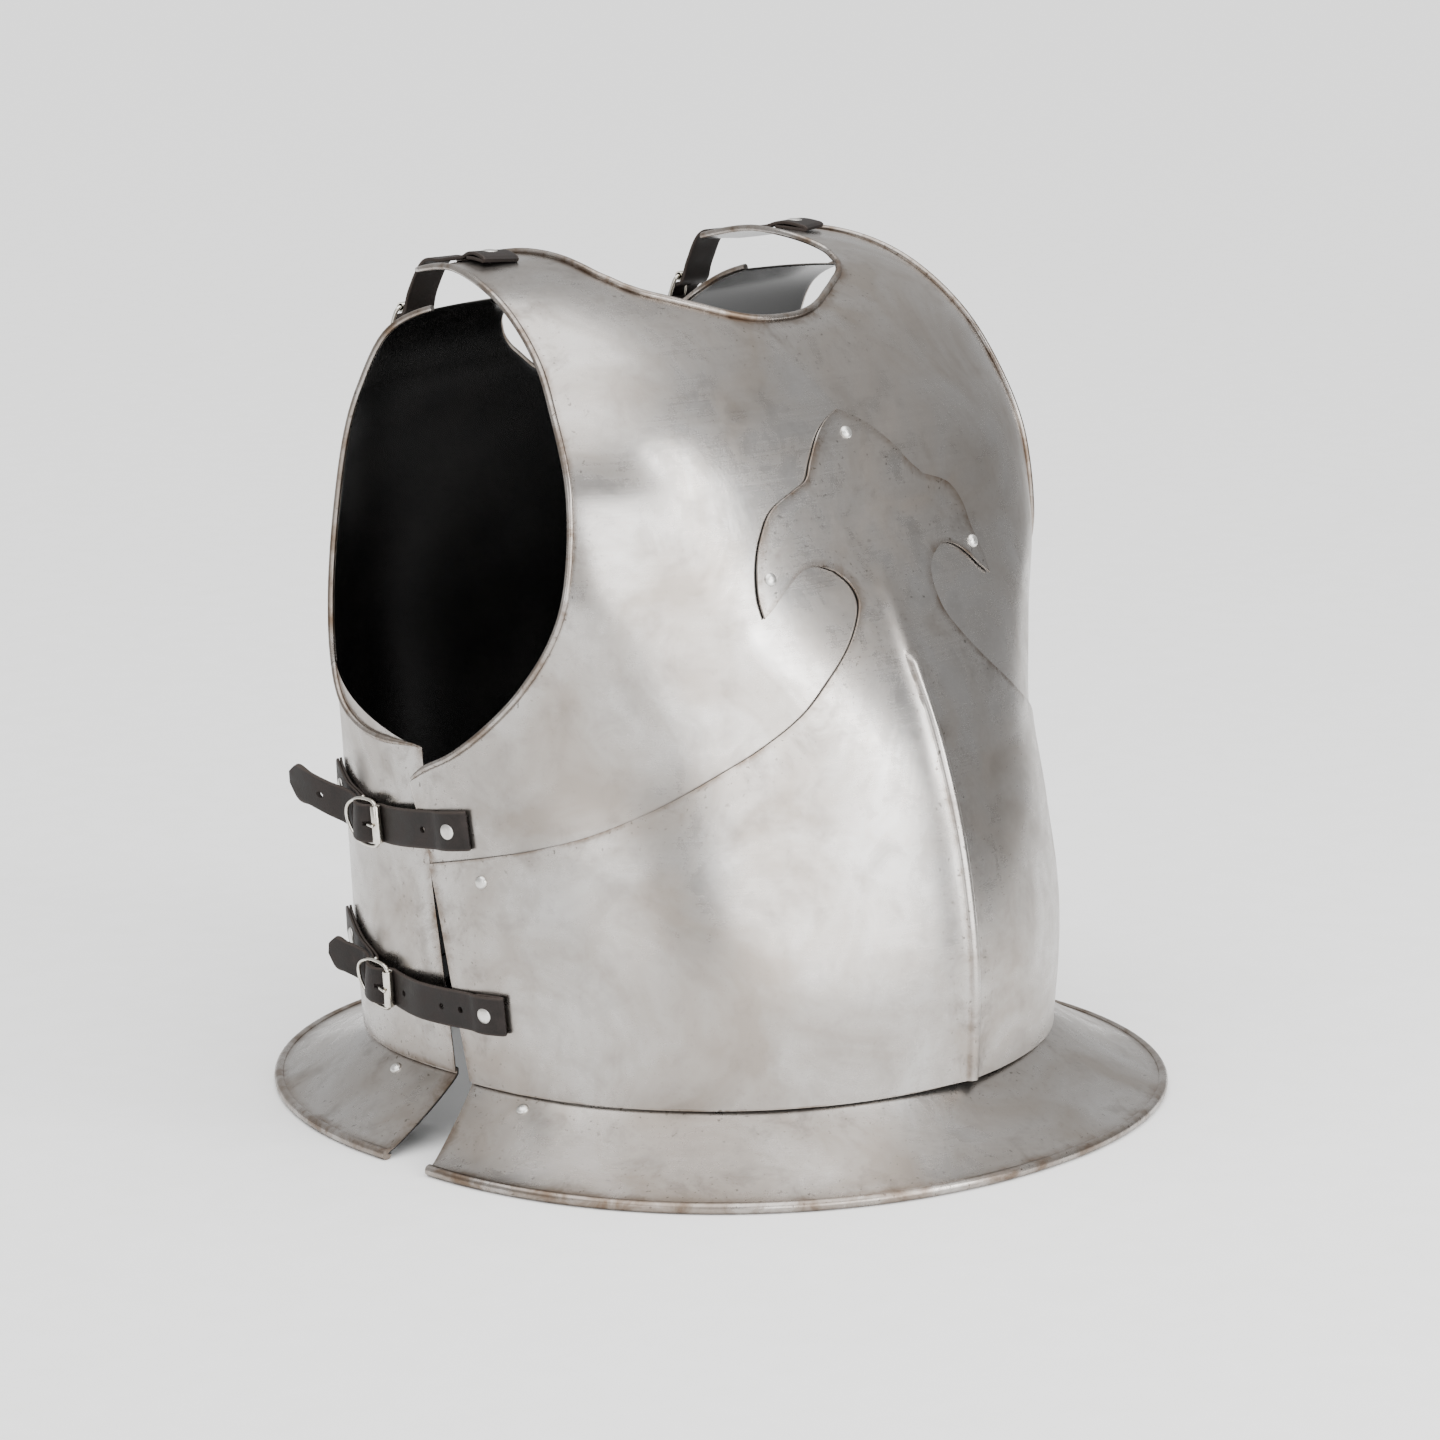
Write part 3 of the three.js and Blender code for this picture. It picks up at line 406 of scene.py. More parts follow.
enamel, tree, shader, here, _ = clouded("black_gloss_enamel", "#0A0A0A", "#161514", (0.4, 0.7),
                                        DUST_MM, 4.0, 0.6, Roughness=0.24)
ripple = add_node(tree, "TexNoise", {"Vector": here, "Scale": 1 / (PEEL_MM * MM),
                                     "Detail": 2.0, "Roughness": 0.55}).outputs["Fac"]
peel = add_node(tree, "Bump", {"Strength": 0.015, "Distance": 0.2 * MM, "Height": ripple})
feed(tree, shader, {"Specular IOR Level": 0.35, "Normal": peel.outputs["Normal"]})
print("made", enamel.name)

# %% [markdown]
# ## Nickel, aluminium rivets and strap leather
# The buckles are bright nickel plate over wire, the rivets soft pale metal peened by hand, and
# the straps drum-dyed leather, nearly black, with a fine grain and rubbed, paler edges.

# %% Nickel and rivet metal
TONE_MM = 6.0            # size of the patches of either tone


def worn_metal(name, light, dark, smooth_rough, scratch_mm):
    """A bright metal: two close tones in clouds, roughness by fine scratches."""
    material, tree, shader, here, tone = clouded(name, light, dark, (0.35, 0.7),
                                                 TONE_MM, 3.0, 0.55, Metallic=1.0)
    scratch = add_node(tree, "TexNoise", {"Vector": here, "Scale": 1 / (scratch_mm * MM),
                                          "Detail": 2.0, "Roughness": 0.55}).outputs["Fac"]
    rough = add_node(tree, "MapRange", {
        "Value": scratch, "From Min": 0.3, "From Max": 0.7,
        "To Min": smooth_rough[0], "To Max": smooth_rough[1]}).outputs["Result"]
    dents = add_node(tree, "Bump", {"Strength": 0.12, "Distance": 0.2 * MM, "Height": tone})
    feed(tree, shader, {"Roughness": rough, "Normal": dents.outputs["Normal"]})
    return material


nickel = worn_metal("bright_nickel_plate", "#DDDAD2", "#C4BEB2", (0.12, 0.24), 0.8)
rivet_metal = worn_metal("peened_rivet_aluminium", "#E2E1DE", "#C9C6C0", (0.26, 0.42), 0.6)
print("made", nickel.name, "and", rivet_metal.name)

# %% Leather
GRAIN_MM = 0.9           # pore spacing, drawn about twice as coarse as life so that it shows
WORN_MM = 9.0            # size of the worn patches
EDGE_WEAR_MM = 1.4       # how far in from its edges the strap is rubbed pale

leather, tree, shader, here = start_material("drum_dyed_strap_leather")
pores = add_node(tree, "TexVoronoi", {"Vector": here, "Scale": 1 / (GRAIN_MM * MM)},
                 feature="F1").outputs["Distance"]
worn = add_node(tree, "TexNoise", {"Vector": here, "Scale": 1 / (WORN_MM * MM), "Detail": 4.0,
                                   "Roughness": 0.6}).outputs["Fac"]
edge = add_node(tree, "Attribute", attribute_name="edge_mm").outputs["Fac"]
hide = layer(tree, linear("#1C1816"), worn, (0.4, 0.7), "#2A2422")
hide = layer(tree, hide, edge, (0.0, EDGE_WEAR_MM), "#453C37", (0.55, 0.0))
rough = add_node(tree, "MapRange", {"Value": worn, "From Min": 0.35, "From Max": 0.7,
                                    "To Min": 0.48, "To Max": 0.66}).outputs["Result"]
grain = add_node(tree, "Bump", {"Strength": 0.35, "Distance": 0.2 * MM, "Height": pores})
feed(tree, shader, {"Base Color": hide, "Roughness": rough, "Specular IOR Level": 0.2,
                    "Normal": grain.outputs["Normal"]})
print("made", leather.name)

# %% [markdown]
# ## Hammered, not machined
# Sheet raised over a stake is never quite true.  Three slow waves, a third of a millimetre
# high, bend the reflections the way hand work does.

# %% Hand work in the surface
HAMMER_MM = 0.32


def hammered(points):
    """Sum of three slow sine waves over the place in mm, between about plus and minus one."""
    x, y, z = np.moveaxis(points, -1, 0)
    waves = (np.sin(x / 17.0 + 1.3 * np.sin(z / 29.0)) * np.sin(z / 21.0 + 0.4)
             + np.sin(y / 23.0 + z / 31.0 + 1.1) * np.sin(x / 27.0 - 0.7)
             + 0.6 * np.sin(z / 11.0 + 0.8 * np.sin(x / 19.0)) * np.sin(y / 14.0 + 2.0))
    return waves / 2.2


KEEL_MM = 2.2            # how far the middle line of the front stands proud of a round arch
KEEL_REACH = 66.0
KEEL_ROUND = 9.0         # rounding of the keel's own crest
RIB_HEIGHT = 3.1
RIB_HALF_WIDTH = 3.5
RIB_SHADE_SLOPE = 2.5           # painted shade beside the rib, as steep as this many times its distance
RIB_TOP = 0.388          # along, where the rib stops in a blunt end
CREASE_TOP = 0.47        # along, where the soft crease above it has died away
CREASE_HEIGHT = 1.1
CREASE_WIDTH = 6.0


def keel(x, along):
    """Parabola from the rounded middle line out, strongest low down, gone at the trefoil."""
    fade = np.clip((0.56 - along) / 0.24, 0, 1)
    far = np.sqrt(x**2 + KEEL_ROUND**2) - KEEL_ROUND
    return KEEL_MM * fade**2 * (3 - 2 * fade) * np.clip(1 - far / KEEL_REACH, 0, 1)**2


def rib(x, along):
    """Half-round bead on the middle line with a blunt top, then a low crease above it."""
    round_off = np.clip((RIB_TOP - along) / 0.009, 0, 1)**0.5
    width = RIB_HALF_WIDTH * (1 + 0.3 * np.clip((along - 0.33) / 0.05, 0, 1))
    bead = RIB_HEIGHT * round_off * np.sqrt(np.clip(1 - (x / width)**2, 0, 1))
    fade = np.clip((CREASE_TOP - along) / 0.09, 0, 1)
    crease = CREASE_HEIGHT * fade * np.exp(-(x / CREASE_WIDTH)**2)
    return np.maximum(bead, crease)


print("rib", RIB_HEIGHT, "mm high; keel at the waist", keel(0.0, 0.0), "mm")

# %% [markdown]
# ## Front plate and back plate
# Both start as flat sheet, dished to the torso, with the neck and arm edges rolled outwards into
# a bead.  Lines run from the neck to the outer edge; along each line the section is outer face,
# bead, inner face, bead, and back to where it began, so one closed skin holds the whole sheet.

# %% Lines of the plates: neck across, along, edge across, along, bend, share of bead
SHEET = 1.2
ROLL = 1.8               # radius of the rolled edges
ROLL_LIFT = 0.44         # how far a roll's middle stands off the outer face, in radii
FRONT_LIFT = 0.35        # how far the front plate's outer face stands off the torso's surface
OVER_LIFT = 2.15         # and the lower plate's outer face
EVEN = 0.6               # 1 spaces a line's points evenly, 0 crowds them at both ends

FRONT_LINES = [
    [0.0, 0.715, 0.0, 0.385, 1.0, 0],
    [0.04, 0.716, 0.15, 0.335, 1.0, 0],
    [0.085, 0.721, 0.32, 0.27, 1.05, 0],
    [0.127, 0.73, 0.5, 0.215, 1.15, 0],
    [0.165, 0.741, 0.69, 0.17, 1.35, 0],
    [0.2, 0.751, 0.87, 0.145, 1.6, 0],
    [0.22, 0.757, 1.0, 0.14, 1.8, 0],
    [0.248, 0.765, 1.0, 0.283, 2.6, 0.1],
    [0.268, 0.772, 0.948, 0.298, 2.6, 1],
    [0.283, 0.779, 0.883, 0.316, 2.3, 1],
    [0.296, 0.786, 0.825, 0.343, 2.0, 1],
    [0.304, 0.793, 0.765, 0.383, 1.7, 1],
    [0.311, 0.8, 0.712, 0.435, 1.4, 1],
    [0.318, 0.807, 0.672, 0.497, 1.2, 1],
    [0.323, 0.815, 0.65, 0.58, 1.1, 1],
    [0.327, 0.837, 0.635, 0.69, 1.0, 1],
    [0.328, 0.86, 0.625, 0.785, 1.0, 1],
    [0.332, 0.885, 0.612, 0.85, 1.0, 1],
    [0.345, 0.92, 0.578, 0.91, 1.0, 1],
    [0.362, 0.972, 0.538, 0.965, 1.0, 0.8],
    [0.372, 0.985, 0.5, 0.985, 1.0, 0.6],
]
FRONT_CORNERS = [6, 7]
BACK_LINES = [
    [0.0, 0.742, 0.0, 0.0, 1.0, 0],
    [0.045, 0.745, 0.22, 0.0, 1.0, 0],
    [0.09, 0.753, 0.4, 0.0, 1.05, 0],
    [0.127, 0.767, 0.54, 0.0, 1.12, 0],
    [0.156, 0.779, 0.67, 0.0, 1.25, 0],
    [0.174, 0.786, 0.82, 0.0, 1.45, 0],
    [0.19, 0.793, 1.0, 0.0, 1.7, 0],
    [0.206, 0.801, 1.0, 0.18, 2.1, 0],
    [0.222, 0.81, 1.0, 0.381, 2.8, 0.1],
    [0.232, 0.817, 0.944, 0.377, 2.6, 1],
    [0.241, 0.824, 0.855, 0.383, 2.2, 1],
    [0.252, 0.832, 0.735, 0.42, 1.7, 1],
    [0.266, 0.846, 0.655, 0.525, 1.2, 1],
    [0.274, 0.857, 0.627, 0.63, 1.05, 1],
    [0.282, 0.872, 0.648, 0.745, 1.0, 1],
    [0.288, 0.895, 0.64, 0.85, 1.0, 1],
    [0.294, 0.925, 0.63, 0.925, 1.0, 0.8],
]
BACK_CORNERS = [6, 8]
print("lines of the front", len(FRONT_LINES), "and of the back", len(BACK_LINES))


# %% A plate with rolled edges
def bead_ring(edge, away, normal, share, thick, sides=22):
    """Most of a circle past an edge, from the outer face over the top to the inner face; where
    the share of bead is nought it shrinks to a half circle as thick as the sheet."""
    radius = mix(thick / 2, ROLL, share)[:, None]
    lift = mix(-thick / 2, ROLL_LIFT * ROLL, share)[:, None]
    start = np.arcsin(np.clip(-lift / radius, -1, 1))
    stop = 2 * np.pi - np.arcsin(np.clip((thick + lift) / radius, -1, 1))
    angle = mix(start, stop, np.linspace(0, 1, sides)[None, :])
    out = radius * (np.cos(start) - np.cos(angle))
    up = lift + radius * np.sin(angle)
    return edge[:, None] + away[:, None] * out[..., None] + normal[:, None] * up[..., None]


def plate_piece(name, body, lines, corners, lift, columns, steps, ridge):
    """Grid of (line, place round the section); q runs from the neck (0) to the outer edge (1)."""
    half = np.asarray(lines, float)
    middle = len(half) - 1
    table = np.vstack([half[:0:-1] * [-1, 1, -1, 1, 1, 1], half])
    turns = [middle - c for c in reversed(corners)] + [middle + c for c in corners]
    rows = refine(table, turns, steps)
    q = 0.5 - 0.5 * np.cos(np.linspace(0, np.pi, columns))[None, :]
    q = mix(q, np.linspace(0, 1, columns)[None, :], EVEN)
    across = np.clip(mix(rows[:, :1], rows[:, 2:3], q**rows[:, 4:5]), -1, 1)
    along = np.clip(mix(rows[:, 1:2], rows[:, 3:4], q), 0, 1)
    normal = body_normal(body, across, along)
    skin = body_point(body, across, along)
    height = lift + HAMMER_MM * hammered(skin) + ridge(skin[..., 0], along)
    outer = skin + normal * height[..., None]
    inner = outer - normal * SHEET
    share = np.clip(rows[:, 5], 0, 1)
    rings = {}
    for key, k, inside, bead in (("neck", 0, 1, np.ones(len(rows))), ("arm", -1, -2, share)):
        line = unit(np.gradient(outer[:, k], axis=0))
        side = unit(np.cross(normal[:, k], line))
        side = side * np.sign(np.sum(side * (outer[:, k] - outer[:, inside])))
        rings[key] = bead_ring(outer[:, k], side, normal[:, k], bead, SHEET)
    loop = np.concatenate([outer, rings["arm"], inner[:, ::-1], rings["neck"][:, ::-1]], axis=1)
    n, m = columns, rings["arm"].shape[1]
    points = closed_ends(loop, n, m)
    run = run_along(outer)
    near = np.minimum(run, run[:, -1:] - run)
    flat = np.zeros((len(rows), m))
    edge = np.concatenate([near, flat, near[:, ::-1], flat], axis=1)
    edge = np.concatenate([edge[:1], edge, edge[-1:]])
    faces = grid_faces(len(points), 2 * (n + m), closed_columns=True)
    place = np.tile(np.arange(2 * (n + m)), len(points) - 1)
    black = ((place >= n + m - 1) & (place < 2 * n + m)).astype(int)
    piece = make_piece(name, points, faces, [steel, enamel], black, edge)
    print(name, "faces", len(piece.data.polygons))
    return piece


# %% Front plate and back plate
PLATE_COLUMNS = 64       # points along a line
PLATE_STEPS = 9          # lines between two rows of the tables

front_plate = plate_piece("front_plate_sheet", FRONT, FRONT_LINES, FRONT_CORNERS, FRONT_LIFT,
                          PLATE_COLUMNS, PLATE_STEPS, keel)
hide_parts("front_plate")
back_plate = plate_piece("back_plate_sheet", BACK, BACK_LINES, BACK_CORNERS, 0.0,
                         PLATE_COLUMNS, PLATE_STEPS, lambda x, along: 0.0 * x)
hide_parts("back_plate")

# %% [markdown]
# ## Lower breastplate
# A second sheet laps over the first.  Its top edge swings up in an S to a narrow stem, opens
# into a trefoil with two hooked lobes and ends in a point.  Lines run from the middle line (or
# from the middle of a lobe) out to the cut edge, round it and back on the inner face.

# %% Edge of the trefoil: middle across, along; right edge across, along; left edge the same
TREFOIL = [
    [0, 0, 1, 0, 1, 0], [0, 0.06, 1, 0.065, 1, 0.065], [0, 0.12, 1, 0.135, 1, 0.135],
    [0, 0.17, 1, 0.198, 1, 0.198], [0, 0.19, 0.871, 0.213, 0.871, 0.213],
    [0, 0.207, 0.773, 0.225, 0.773, 0.225], [0, 0.226, 0.666, 0.241, 0.666, 0.241],
    [0, 0.247, 0.567, 0.261, 0.567, 0.261], [0, 0.27, 0.489, 0.28, 0.489, 0.28],
    [0, 0.295, 0.414, 0.301, 0.414, 0.301], [0, 0.32, 0.338, 0.322, 0.33, 0.322],
    [0, 0.345, 0.252, 0.349, 0.25, 0.349], [0, 0.37, 0.19, 0.375, 0.195, 0.372],
    [0, 0.395, 0.136, 0.398, 0.155, 0.394], [0, 0.418, 0.096, 0.42, 0.124, 0.418],
    [0, 0.44, 0.072, 0.441, 0.116, 0.441], [0, 0.475, 0.077, 0.459, 0.122, 0.46],
    [0, 0.505, 0.102, 0.473, 0.139, 0.472], [0.07, 0.502, 0.138, 0.48, 0.167, 0.48],
    [0.14, 0.505, 0.178, 0.477, 0.198, 0.479], [0.2, 0.492, 0.228, 0.461, 0.232, 0.469],
    [0.245, 0.472, 0.256, 0.45, 0.262, 0.455], [0.27, 0.452, 0.283, 0.441, 0.288, 0.445],
    [0.245, 0.472, 0.283, 0.461, 0.28, 0.467], [0.2, 0.492, 0.27, 0.487, 0.264, 0.49],
    [0.14, 0.505, 0.248, 0.512, 0.252, 0.515], [0.07, 0.502, 0.213, 0.535, 0.22, 0.535],
    [0, 0.505, 0.15, 0.55, 0.158, 0.546], [0, 0.535, 0.121, 0.557, 0.128, 0.56],
    [0, 0.56, 0.101, 0.573, 0.104, 0.575], [0, 0.58, 0.068, 0.594, 0.068, 0.594],
    [0, 0.597, 0.036, 0.607, 0.034, 0.607], [0, 0.607, 0, 0.616, 0, 0.616],
]
RIGHT_HALF, LEFT_HALF = [0, 1, 2, 3], [0, 1, 4, 5]     # columns of the table for each half
SPINE_TURNS = [3, 17, 22, 27]     # corner of the side, foot of the lobe, its tip, its foot again
MM_A_SHARE = 280.0                # mm of sheet in one unit of "across" near the middle
TREFOIL_COLUMNS = 90
TREFOIL_STEPS = 7
RIB_COLUMNS = 16                  # close columns beside the middle line, for the rib
RIB_REACH = 7.0
FILED = [[0.15, 0.17], [0.5, 0.25], [0.85, 0.17]]      # share of the sheet's depth, mm outwards
print("rows of the trefoil", len(TREFOIL))


# %% Lower plate
def trefoil_half(table, side):
    """Grid of (line, place round the section): outer face from the spine to the cut edge, three
    points round the filed edge, and the inner face back to the spine."""
    rows = refine(table, SPINE_TURNS, TREFOIL_STEPS, np.arange(len(table), dtype=float))
    span = np.maximum(np.abs(rows[:, 2:3] - rows[:, :1]), 1e-3) * MM_A_SHARE
    close = np.minimum(np.linspace(0, 1, RIB_COLUMNS)[None, :] * RIB_REACH / span,
                       np.linspace(0, 0.5, RIB_COLUMNS)[None, :])
    share = np.linspace(0, 1, TREFOIL_COLUMNS - RIB_COLUMNS + 1)[None, 1:]
    q = np.concatenate([close, mix(close[:, -1:], 1, share)], axis=1)
    across = side * np.clip(mix(rows[:, :1], rows[:, 2:3], q), 0, 1)
    along = np.clip(mix(rows[:, 1:2], rows[:, 3:4], q), 0, 1)
    skin = body_point(FRONT, across, along)
    normal = body_normal(FRONT, across, along)
    x = skin[..., 0]
    height = OVER_LIFT + HAMMER_MM * hammered(skin) + keel(x, along) + rib(x, along)
    outer = skin + normal * height[..., None]
    away = unit(outer[:, -1:] - outer[:, -2:-1])
    depth, out = np.array(FILED).T[..., None]
    filed = outer[:, -1:] - normal[:, -1:] * SHEET * depth + away * out
    run = run_along(outer)
    # Painted shade along both feet of the rib: the edge distance is cut short there, so the
    # steel's tarnish and dark stains fall beside the rib and die away above its top.
    foot = np.abs(np.abs(x) - RIB_HALF_WIDTH) + np.maximum(0, along - RIB_TOP) * 400
    near = np.minimum(run[:, -1:] - run, 1.5 + RIB_SHADE_SLOPE * foot)
    inner = (outer - normal * SHEET)[:, ::-1]
    edge = np.concatenate([near, np.zeros((len(rows), 3)), near[:, ::-1]], axis=1)
    return np.concatenate([outer, filed, inner], axis=1), edge


def lower_plate_piece():
    """Both halves side by side, welded down the middle on the outer and the inner face."""
    points, edges, faces, parts, first = [], [], [], [], 0
    for half, side in ((RIGHT_HALF, -1), (LEFT_HALF, 1)):
        loop, edge = trefoil_half(np.array(TREFOIL)[:, half], side)
        foot = (loop[:1] + loop[:1, ::-1]) / 2
        loop = np.concatenate([foot, loop])
        count = loop.shape[1]
        quads = grid_faces(len(loop), count, first=first)
        faces.append(quads)
        parts.append((quads[:, 0] - first) % count >= TREFOIL_COLUMNS + 2)
        points.append(loop.reshape(-1, 3))
        edges.append(np.concatenate([edge[:1], edge]).ravel())
        first += len(points[-1])
    return make_piece("lower_plate_sheet", np.vstack(points), np.vstack(faces), [steel, enamel],
                      np.concatenate(parts).astype(int), np.concatenate(edges), sharp=30)


lower_plate = lower_plate_piece()
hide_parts("lower_plate")
print("lower plate faces", len(lower_plate.data.polygons))

# %% [markdown]
# ## Skirts
# Each skirt is a strip flanged up inside the waist, flared out like a trumpet and rolled under
# at the rim, where it meets the ground.  Its section is carried round the waist from side to
# side, and both ends are cut and closed.

# %% Sizes of the skirts: half width and reach of the rim, fullness, y of its ends, waist's lift
SKIRT_ROLL = 2.9         # radius of the rolled rim
ROLL_ANGLES = (128, -170)
FLANGE_HEIGHT = 9.0      # the flange stands this far up inside the plates
FLANGE_RUN_OUT = 0.06    # and runs out over this share of "across" at both ends
WAIST_DROP = 1.6         # the flare starts this far under the plates' edge
FLARE_FOOT = 4.8         # and ends this far over the ground
SKIRT_ROWS = 240         # places round the waist
FLARE_COLUMNS = 26
BEAD_COLUMNS = 22
FRONT_RIM = {"half": 229.0, "reach": 214.5, "full": 2.1, "end_y": -33.0, "tuck": 0.2}
BACK_RIM = {"half": 226.5, "reach": 229.0, "full": 2.0, "end_y": 1.0, "tuck": -1.8}
FLARE_POWER = 1.12
print("rims", 2 * FRONT_RIM["half"], "and", 2 * BACK_RIM["half"], "mm wide")


# %% Surface of a skirt
def rim_point(body, rim, across, inset):
    """Superellipse on the ground, pulled in by an inset in mm."""
    s = np.sin(across * np.pi / 2)
    c = np.abs(np.cos(across * np.pi / 2))**(2 / rim["full"])
    x = (rim["half"] - inset) * np.sign(s) * np.abs(s)**(2 / rim["full"])
    return np.stack([x, rim["end_y"] - body["side"] * (rim["reach"] - inset) * c], -1)


def flare_point(body, rim, across, t):
    """From the waist line (t = 0) to the rim's bead (1): out by t to a power, and down by one
    minus the same power of what is left, which bends the section like a trumpet."""
    across, t = np.broadcast_arrays(np.asarray(across, float), np.asarray(t, float))
    waist = lifted(body, across, 0 * across, 0 * across + rim["tuck"])[..., :2]
    bead = rim_point(body, rim, across, 2 * SKIRT_ROLL - 1)
    flat = mix(waist, bead, (t**FLARE_POWER)[..., None])
    high = mix(WAIST - WAIST_DROP, FLARE_FOOT, 1 - (1 - t)**FLARE_POWER)
    return np.concatenate([flat, high[..., None]], -1)


def skirt_piece(name, body, rim):
    """Grid of (place round the waist, place round the section of flange, flare and bead)."""
    rows, flare, bead = SKIRT_ROWS, FLARE_COLUMNS, BEAD_COLUMNS
    across = np.linspace(-1, 1, rows)
    seat = rim_point(body, rim, across, SKIRT_ROLL)
    away = unit(rim_point(body, rim, across, 0) - seat)
    t = np.linspace(0.0, 1.0, flare)[None, :]
    skin = flare_point(body, rim, across[:, None], t)
    flange = np.repeat(skin[:, :1], 2, axis=1)
    run_out = np.clip((1 - np.abs(across)) / FLANGE_RUN_OUT, 0, 1)
    flange[..., 0, 2] = WAIST + 1.2 + FLANGE_HEIGHT * run_out
    flange[..., 1, 2] = WAIST + 0.6
    skin[..., 2] += HAMMER_MM * hammered(skin) * np.sin(np.pi * t)
    outer = np.concatenate([flange, skin], 1)
    line = unit(np.gradient(outer, axis=0))
    fall = unit(np.gradient(outer, axis=1))
    normal = unit(np.cross(line, fall))
    normal = normal * np.sign(np.sum(normal[:, -3, 2]))
    inner = outer - normal * SHEET
    inner[..., 2] = np.maximum(inner[..., 2], 0.4)
    angle = np.radians(np.linspace(*ROLL_ANGLES, bead))[None, :]
    out = SKIRT_ROLL * np.cos(angle)
    up = SKIRT_ROLL * (1 + np.sin(angle))
    roll = np.concatenate([seat[:, None] + away[:, None] * out[..., None],
                           np.broadcast_to(up[..., None], (rows, bead, 1))], -1)
    loop = np.concatenate([outer, roll, inner[:, ::-1]], 1)
    n = outer.shape[1]
    points = closed_ends(loop, n, bead)
    for k in (0, -1):
        points[k, n:n + bead] = [*seat[k], SKIRT_ROLL]
    faces = grid_faces(len(points), 2 * n + bead, closed_columns=True)
    place = np.tile(np.arange(2 * n + bead), len(points) - 1)
    black = (place >= n + bead - 1).astype(int)
    depth = np.r_[np.full(2, 4.0), np.linspace(2, 40, flare // 2),
                  np.linspace(40, 0, flare - flare // 2)]
    edge = np.r_[depth, np.zeros(bead), depth[::-1]]
    side = np.r_[0, np.minimum(np.arange(rows), np.arange(rows)[::-1]) * 3.0, 0]
    edge = np.minimum(edge[None, :], side[:, None])
    return make_piece(name, points, faces, [steel, enamel], black, edge)


# %% Front skirt and back skirt
for name, body, rim in (("front_skirt", FRONT, FRONT_RIM), ("back_skirt", BACK, BACK_RIM)):
    skirt = skirt_piece(name + "_sheet", body, rim)
    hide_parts(name)
    print(name, "faces", len(skirt.data.polygons))

# %% [markdown]
# ## Rivets
# Soft rivets hold sheet to sheet.  Each has a round shank and a head set with a domed punch, so
# its profile is a low dome; it is turned about its own axis like a turned part.

# %% Rivets
RIVET_PROFILE = [[1.0, 0.0], [1.0, 0.1], [0.97, 0.3], [0.88, 0.55], [0.72, 0.77], [0.5, 0.91],
                 [0.25, 0.98], [0.0, 1.0]]        # share of head radius, share of head height
RIVET_SIDES = 28
SHANK = 1.5              # radius under the head


def turned(profile, sides, closed=False):
    """Turns a profile of radius and height round the third axis."""
    profile = np.asarray(profile, float)
    angle = np.linspace(0, 2 * np.pi, sides, endpoint=False)[None, :]
    points = np.stack([profile[:, :1] * np.cos(angle), profile[:, :1] * np.sin(angle),
                       np.broadcast_to(profile[:, 1:], (len(profile), sides))], -1)
    return points, grid_faces(len(profile), sides, closed_rows=closed, closed_columns=True)


def rivet_piece(name, node, base, axis, seat, radius, height, depth):
    """A turned head and shank, stood on its axis, with its seat so many mm above the base."""
    dome = [[r * radius, seat + h * height] for r, h in RIVET_PROFILE]
    profile = [[0, -depth - 0.9], [SHANK * 1.2, -depth - 0.7], [SHANK * 1.7, -depth],
               [SHANK, -depth], [SHANK, seat], *dome]
    points, faces = turned(profile, RIVET_SIDES)
    side = unit(np.cross(axis, [0.31, 0.22, 0.93]))
    points = (points[..., :1] * side + points[..., 1:2] * np.cross(axis, side)
              + points[..., 2:] * axis + base)
    piece = make_piece(name, points, faces, [rivet_metal], sharp=40)
    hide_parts(node)


print("faces of a rivet", len(turned(RIVET_PROFILE, RIVET_SIDES)[1]))

# %% Rivets of the plates: name, across, along
PLATE_HEAD = (3.5, 2.0, 1.2)      # radius and height of the head, depth of the shank
SKIRT_HEAD = (3.3, 1.9, 1.3)
SKIRT_RIVET_DOWN = 0.16           # share of the flare, from the waist down
PLATE_RIVETS = [
    ["trefoil_rivet_top", 0, 0.593],
    ["trefoil_rivet_right", -0.25, 0.475],
    ["trefoil_rivet_left", 0.257, 0.477],
    ["lower_plate_rivet_right", -0.88, 0.19],
    ["lower_plate_rivet_left", 0.88, 0.19],
]
SKIRT_RIVETS = [["front_skirt_rivet", FRONT, FRONT_RIM, 0.87],
                ["back_skirt_rivet", BACK, BACK_RIM, 0.885]]

for name, across, along in PLATE_RIVETS:
    base = body_point(FRONT, across, along)
    axis = body_normal(FRONT, across, along)
    seat = OVER_LIFT + HAMMER_MM * hammered(base) + keel(base[0], along) - 0.1
    rivet_piece(name + "_head", name, base, axis, seat, *PLATE_HEAD)
for name, body, rim, across in SKIRT_RIVETS:
    for side, word in ((-1, "right"), (1, "left")):
        spot = [flare_point(body, rim, side * across + d, SKIRT_RIVET_DOWN + e)
                for d, e in ((0, 0), (0.01, 0), (0, 0.02))]
        axis = unit(np.cross(spot[1] - spot[0], spot[2] - spot[0]))
        axis = axis * np.sign(axis[2])
        rivet_piece(f"{name}_{word}_head", f"{name}_{word}", spot[0], axis, -0.05, *SKIRT_HEAD)
print("rivets", len(PLATE_RIVETS) + 2 * len(SKIRT_RIVETS))

# %% [markdown]
# ## Straps, laid out flat
# A strap set is made as a saddler makes it: cut, punched and folded on the bench.  In the flat
# layout "a" runs from the buckle's bar (0) to the riveted end, "b" across the strap and "h" out
# from the plate.  The whole set is then bent round a line that lies on the plates.

